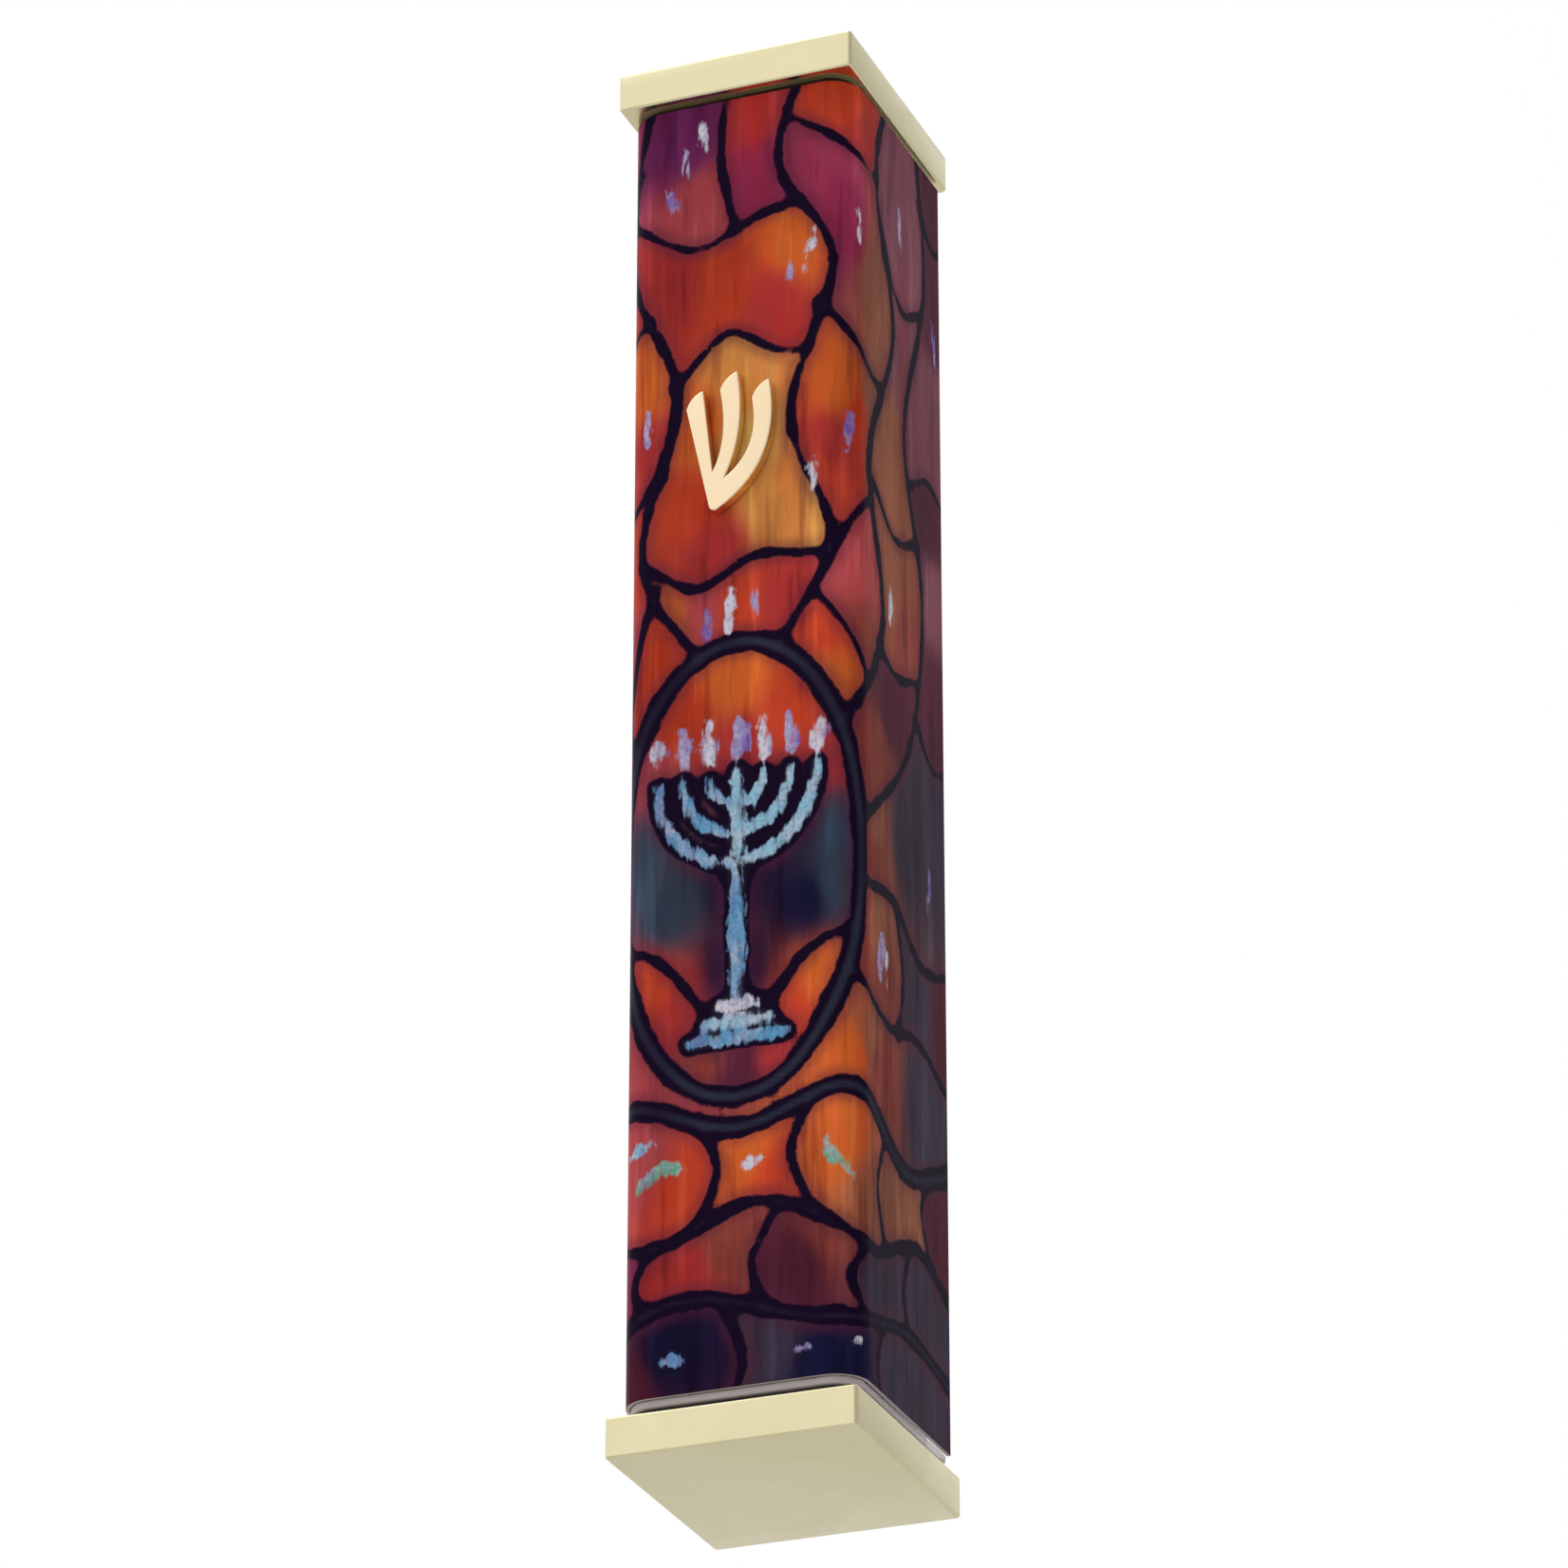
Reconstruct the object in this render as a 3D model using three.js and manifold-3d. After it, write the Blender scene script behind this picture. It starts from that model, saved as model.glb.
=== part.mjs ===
// Mezuzah case for a 10 cm scroll: an aluminium channel in a clear bent cover that a printed film wraps,
// with a square gold-plated cap at each end and a raised letter emblem on the front.
// Units are millimetres. +Z is up, the front faces -Y, and the wall is the plane Y = 0.
// The origin is the middle of the wall pad's outer face.
import * as THREE from "three";
import { mergeVertices } from "three/addons/utils/BufferGeometryUtils.js";
import Module from "manifold-3d";

const wasm = await Module();
wasm.setup();

// ---- driving dimensions ----
// The case is sized from the inside out, round a rolled scroll of standard height.
const SCROLL_HEIGHT = 100;
const SCROLL_OUTER = 4.9; // radii of the rolled parchment
const SCROLL_INNER = 2.1;
const SCROLL_TURNS = 5;
const SCROLL_SHEET = 0.3;
const SCROLL_PLAY = 0.2; // between the parchment and the sleeve's plugs, at each end
const SLEEVE_GAP = 0.45; // between the parchment and the sleeve
const SLEEVE_WALL = 0.4;
const PLUG_FLANGE = 0.8;
const PLUG_DEPTH = 2;
const PLUG_WALL = 0.8;
const PLUG_GAP = 0.1;
const SIDE_PLAY = 1.15; // between the sleeve and the bore's sides
const FRONT_PLAY = 1.55; // between the sleeve and the bore's front
const BACK_PLAY = 0.75; // between the sleeve and the bore's back
const TOP_PLAY = 2.1; // between the sleeve's top and the foam cushion

const CAP_PLATE = 3.4; // height of the visible gold plate of each cap
const CAP_EDGE = 0.25; // rounding along the plate's horizontal edges
const CAP_CORNER = 0.35; // rounding of the plate's vertical edges
const FRONT_OVERHANG = 1.1; // how far the caps stand out past the body
const SIDE_OVERHANG = 0.4;
const BACK_OVERHANG = 1.2;
const PAD_PROUD = 0.8; // how far the wall pad stands out behind the caps

const BODY_CORNER = 2.8; // outside radius of the body's two bends
const PRINT_THICKNESS = 0.3;
const PRINT_MARGIN = 0.6; // the cover reaches this far past the print at its lower edge
const COVER_WALL = 1.5;
const LAYER_GAP = 0.1; // between print, cover and channel

const CHANNEL_WALL = 1.2;
const INNER_LIP = 1.0; // thickness of the rear lips that hold the back plate
const INNER_RIB = 0.8; // thickness of the ribs in front of the back plate
const LIP_REACH = 1.0; // how far the inner lips and ribs stand in from the side walls
const POST_WALL = 0.55; // least wall round the screw ports in the bore's two front corners
const POST_EDGE = 1.2;

const TONGUE = 1.7; // thickness of the back plate's edges
const GROOVE_GAP = 0.1;
const PAD_SIDE_MARGIN = 0.8; // bare strip of the back plate beside the pad
const PAD_END_MARGIN = 10.2; // and above and below it
const PAD_CORNER = 2;

const TOP_GASKET = 0.4;
const BOTTOM_SEAL = 0.9;
const SEAL_INSET = 0.7; // the gaskets' outline stands in from the body by this
const SEAL_SLEEVE = 0.5; // wall of the seal's sleeve round the spigot
const SEAL_STEP = 0.5; // the seal's sleeve stops this far below the top of the spigot
const SPIGOT_WALL = 1.2;
const SPIGOT_GAP = 0.15; // between a spigot and the channel
const TOP_SPIGOT = 3;
const BOTTOM_SPIGOT = 4;
const CUSHION_HEIGHT = 5;
const CUSHION_GAP = 0.2; // between the foam block and the spigot round it
const CONTACT = 0.05; // between pieces that touch

const SCREW_CORE = 0.8; // radii of the cap screws
const SCREW_HEAD = 1.9;
const SCREW_HEAD_HEIGHT = 1.1;
const SCREW_LENGTH = 9;
const SCREW_CLEARANCE = 0.1;
const DRIVE_SLOT = 0.5;
const DRIVE_DEPTH = 0.5;

const EMBLEM_WIDTH = 7.6;
const EMBLEM_HEIGHT = 12.6;
const EMBLEM_THICKNESS = 1;
const EMBLEM_DROP = 0.284; // the emblem's middle, as a share of the body's height below its top
const EMBLEM_SHIFT = -0.4;
const EMBLEM_GAP = 0.1;
const STUD_RADIUS = 0.5;
const STUD_CLEARANCE = 0.1;
const STUD_END = 0.7; // how far a stud stands out behind the channel's front wall
const NUT_RADIUS = 1.5;
const NUT_THICKNESS = 0.4;

// ---- sizes that follow ----
const SLEEVE_BORE = SCROLL_OUTER + SLEEVE_GAP;
const SLEEVE_RADIUS = SLEEVE_BORE + SLEEVE_WALL;
const SLEEVE_LENGTH = SCROLL_HEIGHT + 2 * (SCROLL_PLAY + PLUG_DEPTH);
const BORE_HALF = SLEEVE_RADIUS + SIDE_PLAY;

const COVER_INSET = PRINT_THICKNESS + LAYER_GAP;
const CHANNEL_INSET = COVER_INSET + COVER_WALL + LAYER_GAP;
const BORE_INSET = CHANNEL_INSET + CHANNEL_WALL;
const CHANNEL_HALF = BORE_HALF + CHANNEL_WALL;
const BODY_HALF = BORE_HALF + BORE_INSET;
const CAP_HALF = BODY_HALF + SIDE_OVERHANG;

const CAP_BACK = -PAD_PROUD;
const BODY_BACK = CAP_BACK - BACK_OVERHANG;
const GROOVE_BACK = BODY_BACK - INNER_LIP;
const GROOVE_FRONT = GROOVE_BACK - TONGUE - 2 * GROOVE_GAP;
const BORE_BACK = GROOVE_FRONT - INNER_RIB;
const SLEEVE_Y = BORE_BACK - BACK_PLAY - SLEEVE_RADIUS;
const BORE_FRONT = SLEEVE_Y - SLEEVE_RADIUS - FRONT_PLAY;
const CHANNEL_FRONT = BORE_FRONT - CHANNEL_WALL;
const BODY_FRONT = BORE_FRONT - BORE_INSET;
const CAP_FRONT = BODY_FRONT - FRONT_OVERHANG;

const PORT_RADIUS = SCREW_CORE + SCREW_CLEARANCE;
const POST_SIZE = 2 * (PORT_RADIUS + POST_WALL);
const POST_X = BORE_HALF - POST_SIZE / 2;
const POST_Y = BORE_FRONT + POST_SIZE / 2;

// The stack between the two plates sets the height: spigot, plug, sleeve, plug, play and cushion.
const PLATE_SPACING =
  BOTTOM_SPIGOT + SLEEVE_LENGTH + 2 * PLUG_FLANGE + TOP_PLAY + CUSHION_HEIGHT + 2 * CONTACT;
const CAP_TOP_FACE = PLATE_SPACING / 2; // underside of the top plate
const CAP_BOTTOM_FACE = -PLATE_SPACING / 2; // upper side of the bottom plate
const TOP = CAP_TOP_FACE + CAP_PLATE;
const BODY_TOP = CAP_TOP_FACE - TOP_GASKET;
const BODY_BOTTOM = CAP_BOTTOM_FACE + BOTTOM_SEAL;

// ---- materials ----
const look = (color, roughness, metalness, extra = {}) =>
  new THREE.MeshStandardMaterial({ color, roughness, metalness, ...extra });
const LOOKS = {
  gold: () => look("#ded3a6", 0.25, 1),
  clear: () => look("#f4f6f6", 0.05, 0, { transparent: true, opacity: 0.2 }),
  print: () => look("#a8403a", 0.4, 0),
  aluminium: () => look("#c4c6c8", 0.4, 1),
  plastic: () => look("#3a3c3f", 0.6, 0),
  foam: () => look("#e6e4de", 0.95, 0),
  rubber: () => look("#141416", 0.8, 0),
  parchment: () => look("#e4d5b0", 0.8, 0),
  steel: () => look("#9a9da0", 0.35, 1),
};

// ---- helpers ----
const ARC_STEPS = 6;
const ROUND_STEPS = 24;

/** A closed outline through [x, y, radius] corners; each corner with a radius becomes a true arc. */
function outline(corners, PathClass = THREE.Shape) {
  const path = new PathClass();
  const count = corners.length;
  corners.forEach(([x, y, radius = 0], i) => {
    const before = corners[(i + count - 1) % count];
    const after = corners[(i + 1) % count];
    const here = new THREE.Vector2(x, y);
    const back = new THREE.Vector2(before[0] - x, before[1] - y).normalize();
    const ahead = new THREE.Vector2(after[0] - x, after[1] - y).normalize();
    const half = Math.acos(THREE.MathUtils.clamp(back.dot(ahead), -1, 1)) / 2;
    const start = here.clone().addScaledVector(back, radius / Math.tan(half));
    if (i === 0) path.moveTo(start.x, start.y);
    else path.lineTo(start.x, start.y);
    if (radius === 0) return;
    const middle = back.clone().add(ahead).normalize();
    const centre = here.clone().addScaledVector(middle, radius / Math.sin(half));
    const end = here.clone().addScaledVector(ahead, radius / Math.tan(half));
    const from = Math.atan2(start.y - centre.y, start.x - centre.x);
    const to = Math.atan2(end.y - centre.y, end.x - centre.x);
    path.absarc(centre.x, centre.y, radius, from, to, back.cross(ahead) > 0);
  });
  path.closePath();
  return path;
}

/** The shape extruded upwards from low to high. edge rounds both ends without growing the outline. */
function upright(shape, low, high, edge = 0) {
  const geometry = new THREE.ExtrudeGeometry(shape, {
    depth: high - low - 2 * edge,
    curveSegments: ARC_STEPS,
    bevelEnabled: edge > 0,
    bevelSize: edge,
    bevelOffset: -edge,
    bevelThickness: edge,
    bevelSegments: 2,
  });
  return geometry.translate(0, 0, low + edge);
}

/** A turned solid about the vertical line through (x, y), from a closed [radius, height] profile. */
function turned(profile, x = 0, y = 0, steps = ROUND_STEPS) {
  const points = profile.map(([radius, height]) => new THREE.Vector2(radius, height));
  return new THREE.LatheGeometry(points, steps).rotateX(Math.PI / 2).translate(x, y, 0);
}

/** A solid disc or rod as a turned profile. */
const rod = (radius, low, high) => [
  [0, low],
  [radius, low],
  [radius, high],
  [0, high],
];

/** A ring or tube as a turned profile. */
const tube = (inner, outer, low, high) => [
  [inner, low],
  [outer, low],
  [outer, high],
  [inner, high],
  [inner, low],
];

function solid(geometry) {
  const bare = geometry.clone().deleteAttribute("normal").deleteAttribute("uv");
  const merged = mergeVertices(bare, 1e-4);
  return new wasm.Manifold(
    new wasm.Mesh({
      numProp: 3,
      vertProperties: merged.attributes.position.array,
      triVerts: new Uint32Array(merged.index.array),
    }),
  );
}

/** The first geometry joined with those in add and cut by those in cut. */
function built(base, { add = [], cut = [] } = {}) {
  let body = solid(base);
  for (const geometry of add) body = body.add(solid(geometry));
  for (const geometry of cut) body = body.subtract(solid(geometry));
  const mesh = body.getMesh();
  const geometry = new THREE.BufferGeometry();
  geometry.setAttribute("position", new THREE.BufferAttribute(mesh.vertProperties, 3));
  geometry.setIndex(new THREE.BufferAttribute(mesh.triVerts, 1));
  geometry.computeVertexNormals();
  return geometry;
}

const model = new THREE.Group();
const caseGroup = new THREE.Group();
const bottomCapGroup = new THREE.Group();
const scrollGroup = new THREE.Group();
model.add(caseGroup, bottomCapGroup, scrollGroup);

function piece(group, name, geometry, finish) {
  const mesh = new THREE.Mesh(geometry, LOOKS[finish]());
  mesh.name = name;
  group.add(mesh);
}

// ---- outlines in plan ----

/** A U open to the back that wraps the front and both sides, at inset from the body's outside. */
function wrap(inset, wall) {
  const half = BODY_HALF - inset;
  const front = BODY_FRONT + inset;
  const outer = Math.max(BODY_CORNER - inset, 0);
  const inner = Math.max(outer - wall, 0);
  return outline([
    [half, BODY_BACK],
    [half, front, outer],
    [-half, front, outer],
    [-half, BODY_BACK],
    [-half + wall, BODY_BACK],
    [-half + wall, front + wall, inner],
    [half - wall, front + wall, inner],
    [half - wall, BODY_BACK],
  ]);
}

/** The channel's bore, less its two corner posts, moved in by inset on every side. */
function boreOutline(inset, PathClass = THREE.Shape) {
  const half = BORE_HALF - inset;
  const front = BORE_FRONT + inset;
  const back = BORE_BACK - inset;
  return outline(
    [
      [half, back],
      [-half, back],
      [-half, front + POST_SIZE],
      [-half + POST_SIZE, front + POST_SIZE, POST_EDGE + inset],
      [-half + POST_SIZE, front],
      [half - POST_SIZE, front],
      [half - POST_SIZE, front + POST_SIZE, POST_EDGE + inset],
      [half, front + POST_SIZE],
    ],
    PathClass,
  );
}

/** The body's full plan with its two rounded front corners, moved in by inset. */
function bodyOutline(inset) {
  const half = BODY_HALF - inset;
  return outline([
    [half, BODY_BACK - inset],
    [half, BODY_FRONT + inset, BODY_CORNER - inset],
    [-half, BODY_FRONT + inset, BODY_CORNER - inset],
    [-half, BODY_BACK - inset],
  ]);
}

function capOutline() {
  return outline([
    [CAP_HALF, CAP_BACK, CAP_CORNER],
    [CAP_HALF, CAP_FRONT, CAP_CORNER],
    [-CAP_HALF, CAP_FRONT, CAP_CORNER],
    [-CAP_HALF, CAP_BACK, CAP_CORNER],
  ]);
}

// ---- emblem ----
const EMBLEM_Z = CAP_TOP_FACE - EMBLEM_DROP * (CAP_TOP_FACE - CAP_BOTTOM_FACE);
// Where the two studs stand, as shares of the emblem's half width and half height.
const STUDS = { upper: [-0.02, 0.6], lower: [-0.25, -0.7] };
const studPlace = ([across, up]) => [
  EMBLEM_SHIFT + (across * EMBLEM_WIDTH) / 2,
  EMBLEM_Z + (up * EMBLEM_HEIGHT) / 2,
];

/** The letter shin with three tapering arms on one foot, drawn in its own half width and height. */
function emblemShape() {
  const x = (share) => (share * EMBLEM_WIDTH) / 2;
  const y = (share) => (share * EMBLEM_HEIGHT) / 2;
  const shape = new THREE.Shape();
  shape.moveTo(x(-0.46), y(-0.94));
  shape.lineTo(x(-1), y(0.55));
  shape.quadraticCurveTo(x(-0.9), y(0.74), x(-0.6), y(0.8));
  shape.lineTo(x(-0.38), y(-0.42));
  shape.quadraticCurveTo(x(0), y(0.05), x(-0.22), y(0.76));
  shape.quadraticCurveTo(x(-0.1), y(0.94), x(0.2), y(1));
  shape.quadraticCurveTo(x(0.44), y(0.1), x(-0.1), y(-0.54));
  shape.quadraticCurveTo(x(0.74), y(-0.2), x(0.52), y(0.56));
  shape.quadraticCurveTo(x(0.66), y(0.76), x(0.94), y(0.8));
  shape.quadraticCurveTo(x(1.3), y(-0.46), x(-0.3), y(-1));
  shape.quadraticCurveTo(x(-0.42), y(-1), x(-0.46), y(-0.94));
  return shape;
}

/** A rod along Y from backY forward to frontY, at (x, z). */
function forwardRod(radius, x, z, backY, frontY, steps = ROUND_STEPS) {
  const height = backY - frontY;
  const geometry = new THREE.CylinderGeometry(radius, radius, height, steps);
  return geometry.translate(x, (backY + frontY) / 2, z);
}

const studHoles = (radius) =>
  Object.values(STUDS).map((place) => {
    const [x, z] = studPlace(place);
    return forwardRod(radius, x, z, SLEEVE_Y, CAP_FRONT);
  });

function emblem() {
  const back = BODY_FRONT - EMBLEM_GAP;
  const letter = new THREE.ExtrudeGeometry(emblemShape(), {
    depth: EMBLEM_THICKNESS,
    curveSegments: ARC_STEPS,
    bevelEnabled: false,
  });
  letter.rotateX(Math.PI / 2).translate(EMBLEM_SHIFT, back, EMBLEM_Z);
  const studs = Object.values(STUDS).map((place) => {
    const [x, z] = studPlace(place);
    return forwardRod(STUD_RADIUS, x, z, BORE_FRONT + STUD_END, back - EMBLEM_THICKNESS / 2);
  });
  return built(letter, { add: studs });
}

function pushNut(place) {
  const [x, z] = studPlace(place);
  const front = BORE_FRONT + CONTACT;
  const back = front + NUT_THICKNESS;
  return built(forwardRod(NUT_RADIUS, x, z, back, front), {
    cut: [forwardRod(STUD_RADIUS + CONTACT, x, z, back + 1, front - 1)],
  });
}

// ---- body ----
const holeRadius = STUD_RADIUS + STUD_CLEARANCE;

function coverShell() {
  const legs = upright(wrap(COVER_INSET, COVER_WALL), BODY_BOTTOM, BODY_TOP);
  return built(legs, { cut: studHoles(holeRadius) });
}

function printSheet() {
  const low = BODY_BOTTOM + PRINT_MARGIN;
  const sheet = upright(wrap(0, PRINT_THICKNESS), low, BODY_TOP);
  return built(sheet, { cut: studHoles(holeRadius) });
}

function bodyChannel() {
  const lipHalf = BORE_HALF - LIP_REACH;
  const corner = Math.max(BODY_CORNER - CHANNEL_INSET, 0);
  const right = [
    [lipHalf, BODY_BACK],
    [CHANNEL_HALF, BODY_BACK],
    [CHANNEL_HALF, CHANNEL_FRONT, corner],
  ];
  const rightInside = [
    [BORE_HALF - POST_SIZE, BORE_FRONT],
    [BORE_HALF - POST_SIZE, BORE_FRONT + POST_SIZE, POST_EDGE],
    [BORE_HALF, BORE_FRONT + POST_SIZE],
    [BORE_HALF, BORE_BACK],
    [lipHalf, BORE_BACK],
    [lipHalf, GROOVE_FRONT],
    [BORE_HALF, GROOVE_FRONT],
    [BORE_HALF, GROOVE_BACK],
    [lipHalf, GROOVE_BACK],
  ];
  const mirrored = (corners) => corners.map(([x, ...rest]) => [-x, ...rest]).reverse();
  const section = outline([
    ...right,
    ...mirrored(right),
    ...mirrored(rightInside),
    ...rightInside,
  ]);
  for (const side of [-1, 1]) {
    const port = new THREE.Path();
    port.absarc(side * POST_X, POST_Y, PORT_RADIUS, 0, 2 * Math.PI);
    section.holes.push(port);
  }
  return built(upright(section, BODY_BOTTOM, BODY_TOP), { cut: studHoles(holeRadius) });
}

const LAND_HALF = BORE_HALF - LIP_REACH - GROOVE_GAP; // the plate's flat between the rear lips

function backPlate() {
  const tongueHalf = BORE_HALF - GROOVE_GAP;
  const tongueBack = GROOVE_BACK - GROOVE_GAP;
  const front = GROOVE_FRONT + GROOVE_GAP;
  const section = outline([
    [tongueHalf, front],
    [tongueHalf, tongueBack],
    [LAND_HALF, tongueBack],
    [LAND_HALF, BODY_BACK],
    [-LAND_HALF, BODY_BACK],
    [-LAND_HALF, tongueBack],
    [-tongueHalf, tongueBack],
    [-tongueHalf, front],
  ]);
  return upright(section, BODY_BOTTOM + CONTACT, BODY_TOP - CONTACT);
}

function wallPad() {
  const half = LAND_HALF - PAD_SIDE_MARGIN;
  const end = BODY_TOP - PAD_END_MARGIN;
  const thickness = -BODY_BACK - CONTACT;
  const strip = outline([
    [half, -end, PAD_CORNER],
    [half, end, PAD_CORNER],
    [-half, end, PAD_CORNER],
    [-half, -end, PAD_CORNER],
  ]);
  return upright(strip, 0, thickness).rotateX(Math.PI / 2);
}

// ---- caps ----
const screwPlaces = [-1, 1].map((side) => [side * POST_X, POST_Y]);

/** A ring-shaped spigot that fits the bore with inset to spare. */
function spigot(inset, low, high) {
  const ring = boreOutline(inset);
  ring.holes.push(boreOutline(inset + SPIGOT_WALL, THREE.Path));
  return upright(ring, low, high);
}

function topCap() {
  const plate = upright(capOutline(), CAP_TOP_FACE, TOP, CAP_EDGE);
  const spigotTop = CAP_TOP_FACE + CAP_PLATE / 2;
  const holes = screwPlaces.map(([x, y]) => {
    const shank = SCREW_CORE + 2 * SCREW_CLEARANCE;
    const head = SCREW_HEAD + SCREW_CLEARANCE;
    const profile = [
      [0, CAP_TOP_FACE - 1],
      [shank, CAP_TOP_FACE - 1],
      [shank, TOP - SCREW_HEAD_HEIGHT - SCREW_CLEARANCE],
      [head, TOP - SCREW_CLEARANCE],
      [head, TOP + 1],
      [0, TOP + 1],
    ];
    return turned(profile, x, y);
  });
  return built(plate, {
    add: [spigot(SPIGOT_GAP, CAP_TOP_FACE - TOP_SPIGOT, spigotTop)],
    cut: holes,
  });
}

function topGasket() {
  const sheet = bodyOutline(SEAL_INSET);
  const opening = boreOutline(SPIGOT_GAP - CONTACT, THREE.Path);
  sheet.holes.push(opening);
  const geometry = upright(sheet, BODY_TOP + CONTACT, CAP_TOP_FACE - CONTACT);
  const holes = screwPlaces.map(([x, y]) =>
    turned(rod(PORT_RADIUS, BODY_TOP - 1, CAP_TOP_FACE + 1), x, y),
  );
  return built(geometry, { cut: holes });
}

function capScrew([x, y]) {
  const flat = TOP - SCREW_CLEARANCE;
  const profile = [
    [0, flat - SCREW_LENGTH],
    [SCREW_CORE / 2, flat - SCREW_LENGTH],
    [SCREW_CORE, flat - SCREW_LENGTH + 1],
    [SCREW_CORE, flat - SCREW_HEAD_HEIGHT],
    [SCREW_HEAD, flat],
    [0, flat],
  ];
  const slot = new THREE.BoxGeometry(DRIVE_SLOT, 2 * SCREW_HEAD + 1, 2 * DRIVE_DEPTH);
  return built(turned(profile, x, y), { cut: [slot.translate(x, y, flat)] });
}

/** A foam block cut to the inside of the top spigot. */
function topCushion() {
  const high = CAP_TOP_FACE - CONTACT;
  const block = boreOutline(SPIGOT_GAP + SPIGOT_WALL + CUSHION_GAP);
  return upright(block, high - CUSHION_HEIGHT, high);
}

const SEAL_FIT = SPIGOT_GAP + SEAL_SLEEVE + CONTACT; // the bottom spigot's inset, inside the sleeve

function bottomCap() {
  const plate = upright(capOutline(), -TOP, CAP_BOTTOM_FACE, CAP_EDGE);
  const low = CAP_BOTTOM_FACE - CAP_PLATE / 2;
  return built(plate, { add: [spigot(SEAL_FIT, low, CAP_BOTTOM_FACE + BOTTOM_SPIGOT)] });
}

function bottomSeal() {
  const hole = SEAL_FIT - CONTACT;
  const flange = bodyOutline(SEAL_INSET);
  flange.holes.push(boreOutline(hole, THREE.Path));
  const sleeve = boreOutline(SPIGOT_GAP);
  sleeve.holes.push(boreOutline(hole, THREE.Path));
  const low = CAP_BOTTOM_FACE + CONTACT;
  return built(upright(flange, low, BODY_BOTTOM - CONTACT), {
    add: [upright(sleeve, low, CAP_BOTTOM_FACE + BOTTOM_SPIGOT - SEAL_STEP)],
  });
}

// ---- scroll ----
const SCROLL_FOOT = CAP_BOTTOM_FACE + BOTTOM_SPIGOT + CONTACT; // the sleeve stands on the spigot
const SLEEVE_LOW = SCROLL_FOOT + PLUG_FLANGE;
const SLEEVE_HIGH = SLEEVE_LOW + SLEEVE_LENGTH;
const SHEET_LOW = SLEEVE_LOW + PLUG_DEPTH + SCROLL_PLAY;

/** The rolled parchment: a strip of even thickness wound into an open spiral. */
function parchment() {
  const steps = SCROLL_TURNS * ROUND_STEPS;
  const growth = (SCROLL_OUTER - SCROLL_SHEET - SCROLL_INNER) / steps;
  const edge = (offset) =>
    Array.from({ length: steps + 1 }, (_, i) => {
      const angle = (2 * Math.PI * i) / ROUND_STEPS;
      const radius = SCROLL_INNER + offset + growth * i;
      return new THREE.Vector2(
        radius * Math.cos(angle),
        SLEEVE_Y + radius * Math.sin(angle),
      );
    });
  const strip = new THREE.Shape([...edge(SCROLL_SHEET), ...edge(0).reverse()]);
  return upright(strip, SHEET_LOW, SHEET_LOW + SCROLL_HEIGHT);
}

/** An end plug: a flange outside the sleeve and a short cup inside it. direction is +1 for the top. */
function sleevePlug(seat, direction) {
  const outside = seat + direction * PLUG_FLANGE;
  const inside = seat - direction * PLUG_DEPTH;
  const face = seat + direction * CONTACT;
  const cup = SLEEVE_BORE - PLUG_GAP;
  const profile = [
    [0, outside],
    [SLEEVE_RADIUS, outside],
    [SLEEVE_RADIUS, face],
    [cup, face],
    [cup, inside],
    [cup - PLUG_WALL, inside],
    [cup - PLUG_WALL, face],
    [0, face],
  ];
  if (direction > 0) profile.reverse();
  return turned(profile, 0, SLEEVE_Y, 2 * ROUND_STEPS);
}

// ---- assembly ----
piece(caseGroup, "cover_shell", coverShell(), "clear");
piece(caseGroup, "print_sheet", printSheet(), "print");
piece(caseGroup, "body_channel", bodyChannel(), "aluminium");
piece(caseGroup, "back_plate", backPlate(), "plastic");
piece(caseGroup, "wall_pad", wallPad(), "foam");
piece(caseGroup, "top_cap", topCap(), "gold");
piece(caseGroup, "top_cap_gasket", topGasket(), "rubber");
piece(caseGroup, "top_cap_screw_left", capScrew(screwPlaces[0]), "gold");
piece(caseGroup, "top_cap_screw_right", capScrew(screwPlaces[1]), "gold");
piece(caseGroup, "top_cushion", topCushion(), "foam");
piece(caseGroup, "emblem", emblem(), "gold");
piece(caseGroup, "emblem_nut_upper", pushNut(STUDS.upper), "steel");
piece(caseGroup, "emblem_nut_lower", pushNut(STUDS.lower), "steel");

piece(bottomCapGroup, "bottom_cap", bottomCap(), "gold");
piece(bottomCapGroup, "bottom_cap_seal", bottomSeal(), "rubber");

const sleeveTube = tube(SLEEVE_BORE, SLEEVE_RADIUS, SLEEVE_LOW, SLEEVE_HIGH);
piece(scrollGroup, "parchment_scroll", parchment(), "parchment");
piece(scrollGroup, "scroll_sleeve", turned(sleeveTube, 0, SLEEVE_Y, 2 * ROUND_STEPS), "clear");
piece(scrollGroup, "sleeve_plug_top", sleevePlug(SLEEVE_HIGH, 1), "clear");
piece(scrollGroup, "sleeve_plug_bottom", sleevePlug(SLEEVE_LOW, -1), "clear");

export default model;
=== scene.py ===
"""Mezuzah case: a stained-glass style film round a clear bent cover, gold end caps and a raised letter.

Laid out as an add-on and run as a script. All lengths are in metres in the case's own frame: +Z is up, the
front faces -Y, and the wall is the plane Y = 0.
"""

import contextlib
import math

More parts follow.
